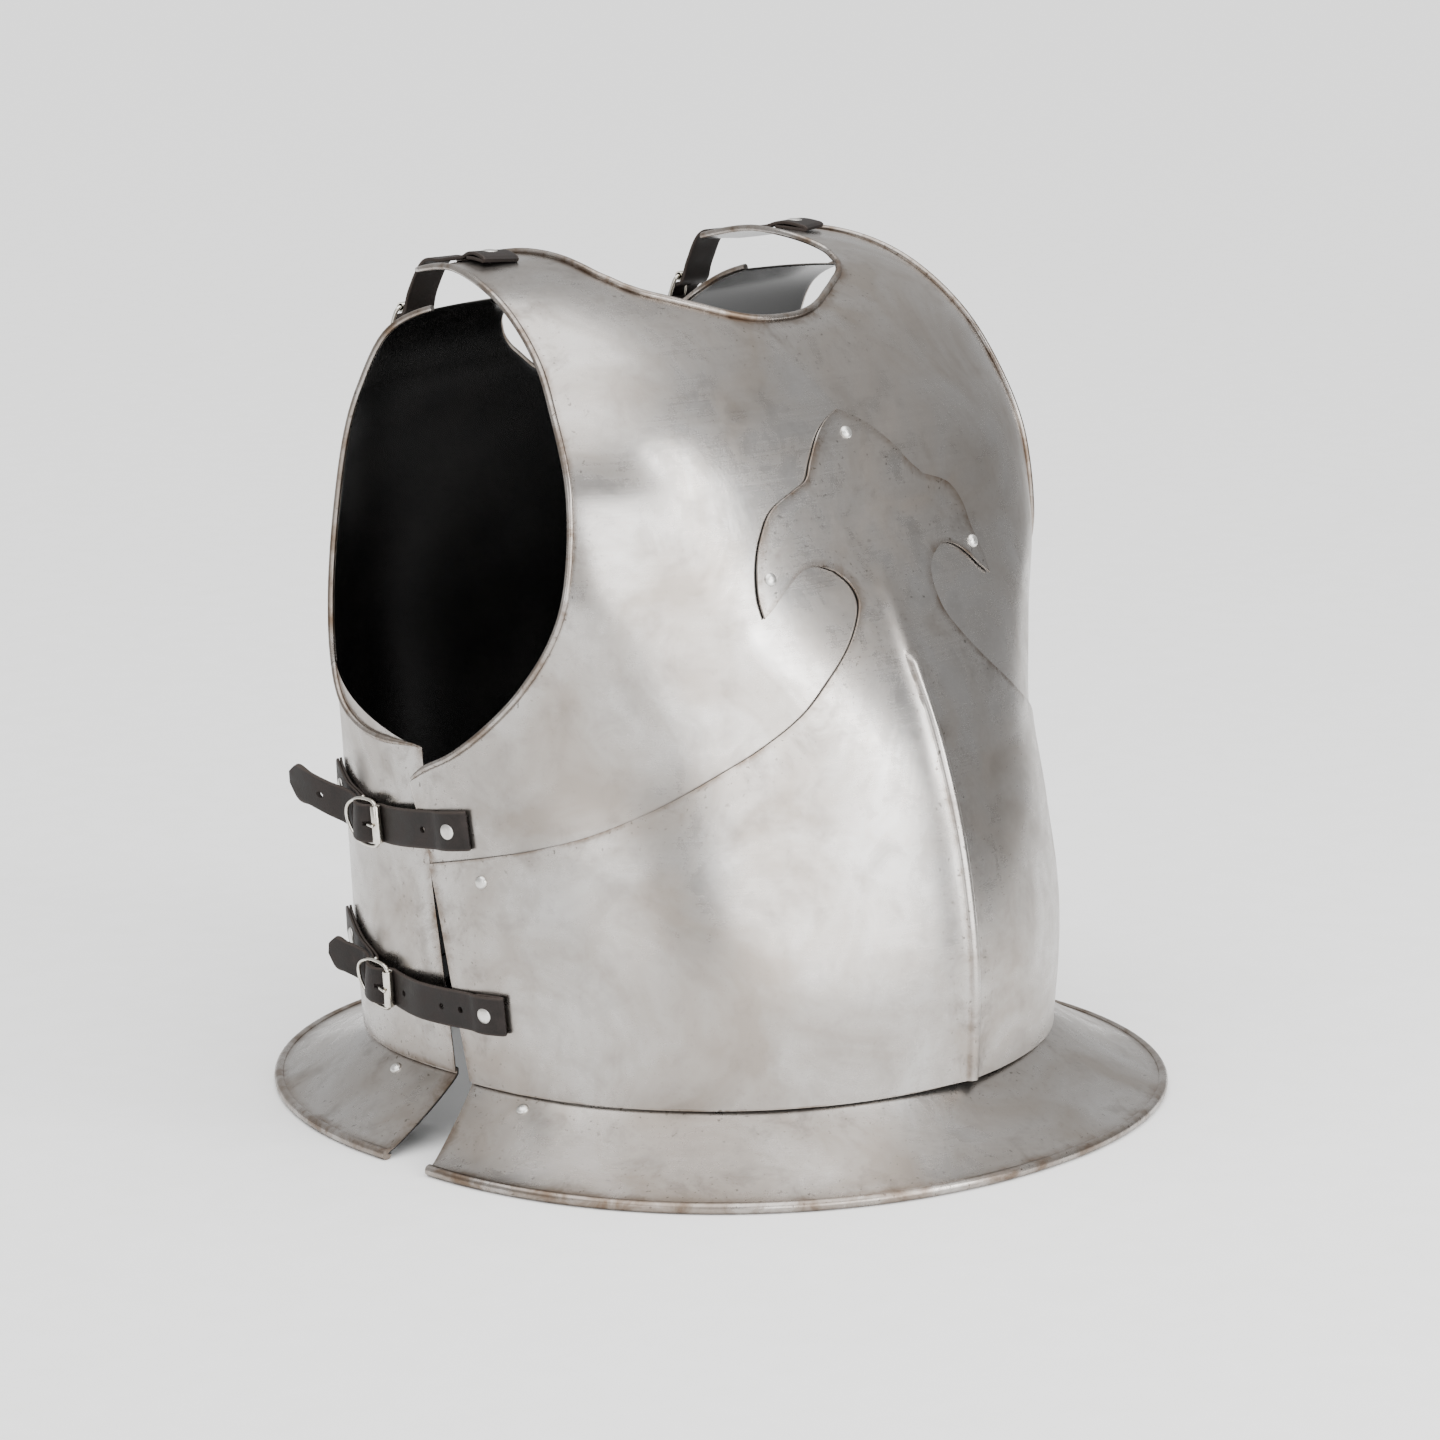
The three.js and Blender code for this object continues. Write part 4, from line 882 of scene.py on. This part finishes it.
# %% Sizes of the straps
STRAP_WIDTH = 20.0
STRAP_THICK = 1.8
CHAPE_THICK = 1.3
CHAPE_HALF = 9.6
LYING = 0.5 + STRAP_THICK / 2     # height of the middle of a strap that lies on its plate
WIRE = 1.05                       # radius of the buckle's wire
BAR = 1.0                         # and of its bar
BAR_HEIGHT = 5.0
LOOP_HALF = 12.2                  # half width of the buckle's loop
ROLLER_AT = 14.0                  # from the bar to the loop's far side
ROLLER = 2.65
PIN = 0.85                        # radius of the prong
PIN_TURN = 1.85                   # and of its bend round the bar
HOLE = 1.7                                             # radius of a punched hole
EASE = 0.45                       # rounding of the leather's edges
PRONG_SLOT = [(5.2, 9.0), (-1.1, 1.1), (-5, 20)]       # a, b and h of the cut in the strap
CHAPE_SLOT = [(-5.6, 6), (-2.1, 2.1), (-3, 9)]         # and of the cut in the chape
print("strap", STRAP_WIDTH, "by", STRAP_THICK, "mm")


# %% Leather and wire
def ribbon(path, thick, step=0.9, wide=12, arc=3):
    """Rounded rectangle carried along a path of a, height of its middle, and half width."""
    path = np.asarray(path, float)
    at = np.r_[0, np.cumsum(np.hypot(*np.diff(path[:, :2], axis=0).T))]
    rows = smooth(at, path, np.linspace(0, at[-1], int(at[-1] / step) + 1))
    line = unit(np.gradient(rows[:, :2], axis=0))
    r = min(EASE, 0.45 * thick)
    turn = np.linspace(np.pi / 2, 0, arc + 2)[1:-1]
    flat = np.linspace(-1, 1, wide)
    base = np.r_[flat, np.ones(2 * arc), flat[::-1], -np.ones(2 * arc)]
    out = r * np.r_[0 * flat, np.cos(turn), np.cos(turn[::-1]), 0 * flat, -np.cos(turn),
                    -np.cos(turn[::-1])]
    up = r * np.r_[flat**0, np.sin(turn), -np.sin(turn[::-1]), -flat**0, -np.sin(turn),
                   np.sin(turn[::-1])]
    up = up + np.sign(up) * (thick / 2 - r)
    b = base * (rows[:, 2:3] - r) + out
    a = rows[:, :1] - line[:, 1:] * up
    h = rows[:, 1:2] + line[:, :1] * up
    loop = np.stack([a, b, h], -1)
    points = closed_ends(loop, wide, 2 * arc)
    return points, grid_faces(len(points), len(base), closed_columns=True)


def rod(path, radius, across=(0, 0, 1), closed=False, sides=14, cap=4):
    """Round wire along a path; its open ends are closed by half balls."""
    path = np.asarray(path, float)
    if closed:
        line = unit(np.roll(path, -1, axis=0) - np.roll(path, 1, axis=0))
        size = np.full(len(path), float(radius))
    else:
        line = unit(np.gradient(path, axis=0))
        bend = np.linspace(0, np.pi / 2, cap + 1)[:0:-1]
        head = path[0] - line[0] * radius * np.sin(bend)[:, None]
        tail = path[-1] + line[-1] * radius * np.sin(bend[::-1])[:, None]
        size = np.r_[radius * np.cos(bend), np.full(len(path), float(radius)),
                     radius * np.cos(bend[::-1])]
        path = np.vstack([head, path, tail])
        line = np.vstack([np.repeat(line[:1], cap, 0), line, np.repeat(line[-1:], cap, 0)])
    side = unit(np.cross(line, across))
    up = np.cross(side, line)
    angle = np.linspace(0, 2 * np.pi, sides, endpoint=False)[None, :, None]
    points = path[:, None] + size[:, None, None] * (side[:, None] * np.cos(angle)
                                                    + up[:, None] * np.sin(angle))
    return points, grid_faces(len(path), sides, closed_rows=closed, closed_columns=True)


print("faces of 20 mm of strap", len(ribbon([[0, 0, 10], [20, 0, 10]], STRAP_THICK)[1]))


# %% Cutters
def block(a, b, h):
    """A box between pairs of a, b and h, for cutting."""
    corners = np.array([[a[i], b[j], h[k]] for i in (0, 1) for j in (0, 1) for k in (0, 1)])
    faces = np.array([[0, 1, 3, 2], [4, 6, 7, 5], [0, 4, 5, 1], [2, 3, 7, 6], [0, 2, 6, 4],
                      [1, 5, 7, 3]])
    return corners, faces


def punch(a, radius):
    """An upright round cutter: a straight profile turned about its own axis."""
    points, faces = turned([[0, -30], [radius, -30], [radius, 40], [0, 40]], 24)
    return points + [a, 0, 0], faces


def flat_mesh(grids):
    """One mesh of several grids, in mm and in the flat layout."""
    points, faces, first = [], [], 0
    for some, quads in grids:
        points.append(some.reshape(-1, 3))
        faces.append(quads + first)
        first += len(points[-1])
    mesh = bpy.data.meshes.new("flat")
    mesh.from_pydata(np.vstack(points).tolist(), [], np.vstack(faces).tolist())
    tidy(mesh, 1e-4)
    return mesh


def cut_out(mesh, cutters):
    """Takes the cutters out of a mesh, and drops them."""
    base = bpy.data.objects.new("flat", mesh)
    bpy.context.scene.collection.objects.link(base)
    tools = []
    for cutter in cutters:
        tool = bpy.data.objects.new("cutter", flat_mesh([cutter]))
        bpy.context.scene.collection.objects.link(tool)
        cut = base.modifiers.new("cut", "BOOLEAN")
        cut.object = tool
        cut.operation = "DIFFERENCE"
        cut.solver = "EXACT"
        tools.append(tool)
    seen = base.evaluated_get(bpy.context.evaluated_depsgraph_get())
    result = bpy.data.meshes.new_from_object(seen)
    for done in (base, *tools):
        bpy.data.objects.remove(done)
    return result


print("a hole's cutter has", len(punch(0, HOLE)[1]), "faces")


# %% Strap and chape
def arc_path(radius, start, stop, count, half):
    """Rows of a ribbon round the buckle's bar, between two angles in degrees."""
    angle = np.radians(np.linspace(start, stop, count))
    return np.stack([radius * np.cos(angle), BAR_HEIGHT + radius * np.sin(angle),
                     np.full(count, half)], 1).tolist()


def strap_shapes(front, free, chape_end, punched):
    """Flat meshes of one set: strap, chape, buckle, roller and tongue."""
    w = STRAP_WIDTH / 2
    tip = free[0][0]
    strap_path = [
        [tip, free[0][1], 3.6], *[[a, h, w - 0.3] for a, h in free[1:]],
        [-14, 4.7, w - 0.3], [-7.8, 5.6, w - 0.2],
        [-3.8, 8.0, w], [0, 9.1, w], [4, 8.8, w], [7.3, 7.4, w], [9.3, 5.2, w],
        [10.6, 2.9, w], [13.4, LYING + 0.05, w], [17, LYING, w],
        [25, LYING, w], [39, LYING, w], [(front + 14) / 2, LYING, w], [front - 26, LYING, w],
        [front - 21, LYING + 0.5, w], [front - 17, LYING + STRAP_THICK, w],
        [front - 3.5, LYING + STRAP_THICK + 0.1, w], [front - 1.0, LYING + 0.8 * STRAP_THICK, w],
        [front - 0.4, LYING + 0.5 * STRAP_THICK + 0.05, w], [front - 1.0, LYING + 0.2, w],
        [front - 3.5, LYING, w], [front - 17.0, LYING, w],
    ]
    strap = cut_out(flat_mesh([ribbon(strap_path, STRAP_THICK)]), [
        block(*PRONG_SLOT), *[punch(a, HOLE) for a in punched]])
    fold = BAR + 0.5 + CHAPE_THICK / 2
    chape_path = [
        [chape_end, 2.9, CHAPE_HALF - 2.5], [chape_end + 2, 2.7, CHAPE_HALF - 0.4],
        [chape_end + 7, 2.6, CHAPE_HALF], [-26, 2.6, CHAPE_HALF], [-8.2, 2.8, CHAPE_HALF],
        *arc_path(fold, 115, -115, 11, CHAPE_HALF),
        [-6, 1.0, CHAPE_HALF], [-26, 0.95, CHAPE_HALF], [chape_end + 2, 1.0, CHAPE_HALF],
    ]
    chape = cut_out(flat_mesh([ribbon(chape_path, CHAPE_THICK)]),
                    [block(*CHAPE_SLOT)])
    return {"strap": strap, "chape": chape, **buckle_shapes()}


print("fold of a chape", round(BAR + 0.5 + CHAPE_THICK / 2, 2), "mm from the bar's middle")


# %% Buckle, roller and prong
def buckle_shapes():
    """Bent wire loop with its bar, a rolled sheet tube on the loop's far side, and a pin."""
    side = np.array([[ROLLER_AT, LOOP_HALF - 2.0], [ROLLER_AT - 1.6, LOOP_HALF - 0.6],
                     [7, LOOP_HALF], [0, LOOP_HALF - 0.3], [-5, LOOP_HALF - 1.8],
                     [-9.5, LOOP_HALF - 4.6], [-12.6, LOOP_HALF - 8.0]])
    corners = np.vstack([side, [[-ROLLER_AT, 0]], side[::-1] * [1, -1]])
    ring = np.vstack([corners, corners[:1]])
    at = np.r_[0, np.cumsum(np.hypot(*np.diff(ring, axis=0).T))]
    fine = np.linspace(0, at[-1], 180, endpoint=False)
    plan = np.stack([np.interp(fine, at, ring[:, k]) for k in (0, 1)], 1)
    plan = sum(np.roll(plan, k, axis=0) for k in range(-5, 6)) / 11
    level = mix(7.7, 5.3, (plan[:, :1] + ROLLER_AT) / (2 * ROLLER_AT))
    loop = rod(np.hstack([plan, level]), WIRE, closed=True)
    bar = rod([[0, b, BAR_HEIGHT] for b in np.linspace(-LOOP_HALF, LOOP_HALF, 12)], BAR)
    tube, quads = turned([[1.9, -9.3], [2.55, -9.6], [ROLLER, -9.3], [ROLLER, 9.3], [2.55, 9.6],
                          [1.9, 9.3]], 28, closed=True)
    tube = np.stack([tube[..., 0] + ROLLER_AT - 0.25, tube[..., 2], tube[..., 1] + 5.3], -1)
    bend = np.radians(np.linspace(300, 90, 12))
    round_bar = np.stack([PIN_TURN * np.cos(bend), 0 * bend,
                          BAR_HEIGHT + PIN_TURN * np.sin(bend)], 1)
    straight = smooth([0, 1, 2, 3], [[3, 0, 6.9], [7, 0, 7.3], [10.6, 0, 8.6], [15.9, 0, 8.95]],
                      np.linspace(0, 3, 14))
    pin = rod(np.vstack([round_bar, straight]), PIN, across=(0, 1, 0))
    return {"buckle": flat_mesh([loop, bar]), "roller": flat_mesh([(tube, quads)]),
            "tongue": flat_mesh([pin])}


print("buckle", 2 * LOOP_HALF, "mm wide")

# %% [markdown]
# ## Lines that the straps follow
# The side straps run level round the torso from the back plate to the front; the shoulder straps
# run from the back plate up and over the shoulder tab.  The straps of the wearer's left mirror
# those of the right.

# %% Base lines
BACK_LIFT = 0.8          # gap under a strap on the back plate
CROSSING = (14.0, 52.0)  # y where a side strap leaves the front plate, and lies on the back one


def side_reach(body, y, z):
    """Outer half width of a torso at a place on its side, between its lower sections."""
    low = body["sections"][:6]
    at = smooth(low[:, 1], low[:, [0, 3, 4, 5]], z)
    crown, half, rise, full = np.moveaxis(at, -1, 0)
    into = np.maximum(0, 1 - body["side"] * (y - crown) / rise)
    return half * (1 - into**full)**(1 / full)


def side_line(rows):
    """Middle line round the right side; rows are a, y, z and lift off the front plate."""
    rows = np.asarray(rows, float)

    def centre(a, b):
        y, z, lift = np.moveaxis(smooth(rows[:, 0], rows[:, 1:], a), -1, 0)
        front = side_reach(FRONT, y, z + b) + lift
        back = side_reach(BACK, y, z + b) + BACK_LIFT
        t = np.clip((y - CROSSING[0]) / (CROSSING[1] - CROSSING[0]), 0, 1)
        return np.stack([-mix(front, back, t * t * (3 - 2 * t)), y, z + b], -1)
    return frame_line(centre)


def shoulder_line(rows):
    """Middle line over the right shoulder; rows are a, x, y and z."""
    rows = np.asarray(rows, float)

    def centre(a, b):
        x, y, z = np.moveaxis(smooth(rows[:, 0], rows[:, 1:], a), -1, 0)
        return np.stack([x + b, y, z], -1)
    return frame_line(centre)


def frame_line(centre):
    """Bends flat places: along the line by a, square to it by b, and out from it by h."""
    def place(a, b, h):
        a = np.asarray(a, float)
        along = unit(centre(a + 1.5, 0) - centre(a - 1.5, 0))
        up = centre(a, 9) - centre(a, -9)
        side = unit(up - along * np.sum(along * up, -1, keepdims=True))
        out = np.cross(along, side)
        return (centre(a, 0) + side * np.asarray(b)[..., None] + out * np.asarray(h)[..., None])
    return place


def tab(across, along, back=0.0, up=0.0):
    """A place on the shoulder tab of the front plate, as x, y and z."""
    return (body_point(FRONT, across, along) + [0, back, up]).tolist()


print("the shoulder strap starts on the tab at", np.round(tab(-0.42, 0.984), 1), "mm")

# %% Strap sets: line, riveted end, free end (a, h), end of the chape, punched holes
STRAP_HEAD = (4.4, 1.3, 1.0)      # radius and height of the head, depth of the shank
STRAP_RIVET_IN = 11.0             # from the strap's end
CHAPE_RIVET_IN = 13.0             # from the chape's end
CHAPE_TOP = 3.15                  # height of the rivet's seat on the chape
STRAP_SETS = [
    {"name": "upper",
     "line": side_line([
         [-70, 122, 181, 0], [-45, 99, 173, 0], [-22, 78, 165, 0], [0, 57, 160.3, 0],
         [14, 43, 160.5, 0], [44, 13, 163.6, 0.2], [80, -23, 168, 0.5], [95, -38, 170, 0.5]]),
     "front": 80,
     "free": [[-48, 27.5], [-44, 24.4], [-36, 18.2], [-27, 11.6], [-19.5, 6.6]],
     "chape_end": -49, "punched": [-31, 50]},
    {"name": "lower",
     "line": side_line([
         [-70, 124, 101, 0], [-45, 100, 93, 0], [-22, 78, 82, 0], [0, 57.5, 74.5, 0],
         [14, 43.5, 73, 0], [45, 13, 72.6, 1.8], [80, -22, 74.2, 2.2], [101, -43, 75.3, 2.2],
         [115, -57, 76, 2.2]]),
     "front": 101,
     "free": [[-31, 16.5], [-28, 14], [-23, 10.2], [-18.5, 6.9]],
     "chape_end": -49, "punched": [25, 58, 72]},
    {"name": "shoulder",
     "line": shoulder_line([
         [-50, -100, 122, 346], [-35, -101, 116, 361], [-18, -101.5, 111.5, 378],
         [0, -102, 107, 396], [12, -102, 103.5, 408.5], [24, -102, 99.5, 420.5],
         [35, *tab(-0.42, 0.984, 4.2, 1.2)], [45, *tab(-0.426, 0.967, 0, 1.0)],
         [62, *tab(-0.437, 0.937, 0, 0.5)], [82, *tab(-0.458, 0.9, 0, 0.5)],
         [101, *tab(-0.478, 0.864, 0, 0.5)], [112, *tab(-0.49, 0.845, 0, 0.5)]]),
     "front": 93,
     "free": [[-36, 10.5], [-32, 9.6], [-25, 8.4], [-19, 6.6]],
     "chape_end": -46, "punched": [46, 58]},
]
print("straps", 2 * len(STRAP_SETS))

# %% Straps round the armour
FINISH = {"strap": (leather, "leather"), "chape": (leather, "leather"),
          "buckle": (nickel, "nickel"), "roller": (nickel, "nickel"),
          "tongue": (nickel, "nickel")}


def bend_round(name, node, flat, line, left, material, slot):
    """Bends a flat mesh round its line, mirrors it for the wearer's left, and shows it."""
    mesh = flat.copy()
    place = np.empty(3 * len(mesh.vertices))
    mesh.vertices.foreach_get("co", place)
    a, b, h = place.reshape(-1, 3).T
    wear = mesh.attributes.new("edge_mm", "FLOAT", "POINT")
    wear.data.foreach_set("value", (STRAP_WIDTH / 2 - np.abs(b)).astype(np.float32))
    bent = line(a, b, h) + [0, SHIFT_Y, 0]
    if left:
        bent = bent * [-1, 1, 1]
        mesh.flip_normals()
    mesh.vertices.foreach_set("co", (bent * MM).ravel())
    mesh.materials.clear()
    mesh.materials.append(material)
    mesh.update()
    piece = show(name, mesh, 40)
    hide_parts(node)


for kind in STRAP_SETS:
    flats = strap_shapes(kind["front"], kind["free"], kind["chape_end"], kind["punched"])
    spots = {"strap_rivet": (kind["front"] - STRAP_RIVET_IN, 0.5 + 2 * STRAP_THICK),
             "chape_rivet": (kind["chape_end"] + CHAPE_RIVET_IN, CHAPE_TOP)}
    for left, word in ((False, "right"), (True, "left")):
        for part, flat in flats.items():
            node = f"{kind['name']}_{part}_{word}"
            bend_round(node + "_made", node, flat, kind["line"], left, *FINISH[part])
        for part, (a, seat) in spots.items():
            base, high = kind["line"](np.array([a, a]), np.array([0, 0]), np.array([0, 5]))
            turn = [-1, 1, 1] if left else [1, 1, 1]
            node = f"{kind['name']}_{part}_{word}"
            rivet_piece(node + "_head", node, base * turn, unit(high - base) * turn, seat,
                        *STRAP_HEAD)
    print(kind["name"], "strap faces", len(flats["strap"].polygons))
    for flat in flats.values():
        bpy.data.meshes.remove(flat)

# %% [markdown]
# ## Studio
# A floor of pale, matt paper runs back under the armour, wide enough to fill the view, and
# ends just past its sides, so that the steel mirrors a darker room beyond it.  One soft light
# hangs overhead, one stands on the left, one before the breast, and a narrow one high up
# before it.

# %% Floor
FLOOR_REACH = (-1.6, 16.0)                     # metres, before and behind the armour
FLOOR_HALF = (0.95, 3.2)                       # half width at those two lines
VIEW_LINE = np.array([0.715, 0.699, 0.0])      # the camera's line of sight, laid level
VIEW_RIGHT = np.array([0.699, -0.715, 0.0])
FIBRE_MM = 25.0                                # size of the paper's faint clouds

corners = [VIEW_LINE * FLOOR_REACH[k] + VIEW_RIGHT * FLOOR_HALF[k] * side
           for k, side in ((0, -1), (0, 1), (1, 1), (1, -1))]
floor_mesh = bpy.data.meshes.new("floor")
floor_mesh.from_pydata([c.tolist() for c in corners], [], [(0, 1, 2, 3)])
floor = bpy.data.objects.new("floor", floor_mesh)
bpy.context.scene.collection.objects.link(floor)
paper = clouded("pale_paper", "#F6F6F6", "#F3F3F2", (0.3, 0.7), FIBRE_MM, 3.0, 0.55,
                Roughness=0.9)[0]
floor_mesh.materials.append(paper)
print("made", paper.name)

# %% Room and lamps
ROOM_SIDE = (-0.45, 0.75, 0.35)   # towards the lighter side of the room

world = bpy.data.worlds.new("studio_room")
world.use_nodes = True
tree = world.node_tree
tree.nodes.clear()
facing = add_node(tree, "TexCoord").outputs["Generated"]
lean = add_node(tree, "VectorMath", {0: facing, 1: ROOM_SIDE},
                operation="DOT_PRODUCT").outputs["Value"]
glow = add_node(tree, "MapRange", {"Value": lean, "From Min": -0.8, "From Max": 0.0,
                                   "To Min": 0.42, "To Max": 0.95}).outputs["Result"]
back = add_node(tree, "Background", {"Strength": glow})
add_node(tree, "OutputWorld", {"Surface": back.outputs["Background"]})
bpy.context.scene.world = world


def soft_light(name, kind, place, aim, energy, **settings):
    """A large lamp that looks from its place to its aim."""
    data = bpy.data.lights.new(name, kind)
    data.energy = energy
    for key, value in settings.items():
        setattr(data, key, value)
    lamp = bpy.data.objects.new(name, data)
    lamp.location = place
    lamp.rotation_euler = (Vector(aim) - Vector(place)).to_track_quat("-Z", "Y").to_euler()
    bpy.context.scene.collection.objects.link(lamp)


BOXES = [                # name, place and aim in metres, watts, width, height
    ["left_box", (-2.3, -0.85, 0.6), (0, 0, 0.2), 13.0, 1.1, 1.3],
    ["breast_box", (-0.15, -2.1, 0.5), (0, -0.1, 0.2), 48.0, 2.5, 1.15],
    ["high_strip", (0.62, -1.78, 1.3), (0, -0.1, 0.22), 16.0, 0.55, 1.1],
]
soft_light("overhead", "SUN", (-0.5, -0.3, 3.0), (0, 0, 0), 4.0, angle=np.radians(80))
for name, place, aim, watts, width, height in BOXES:
    soft_light(name, "AREA", place, aim, watts, shape="RECTANGLE", size=width, size_y=height)

# %% Count of the frame's solids
print("pieces", len(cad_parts))
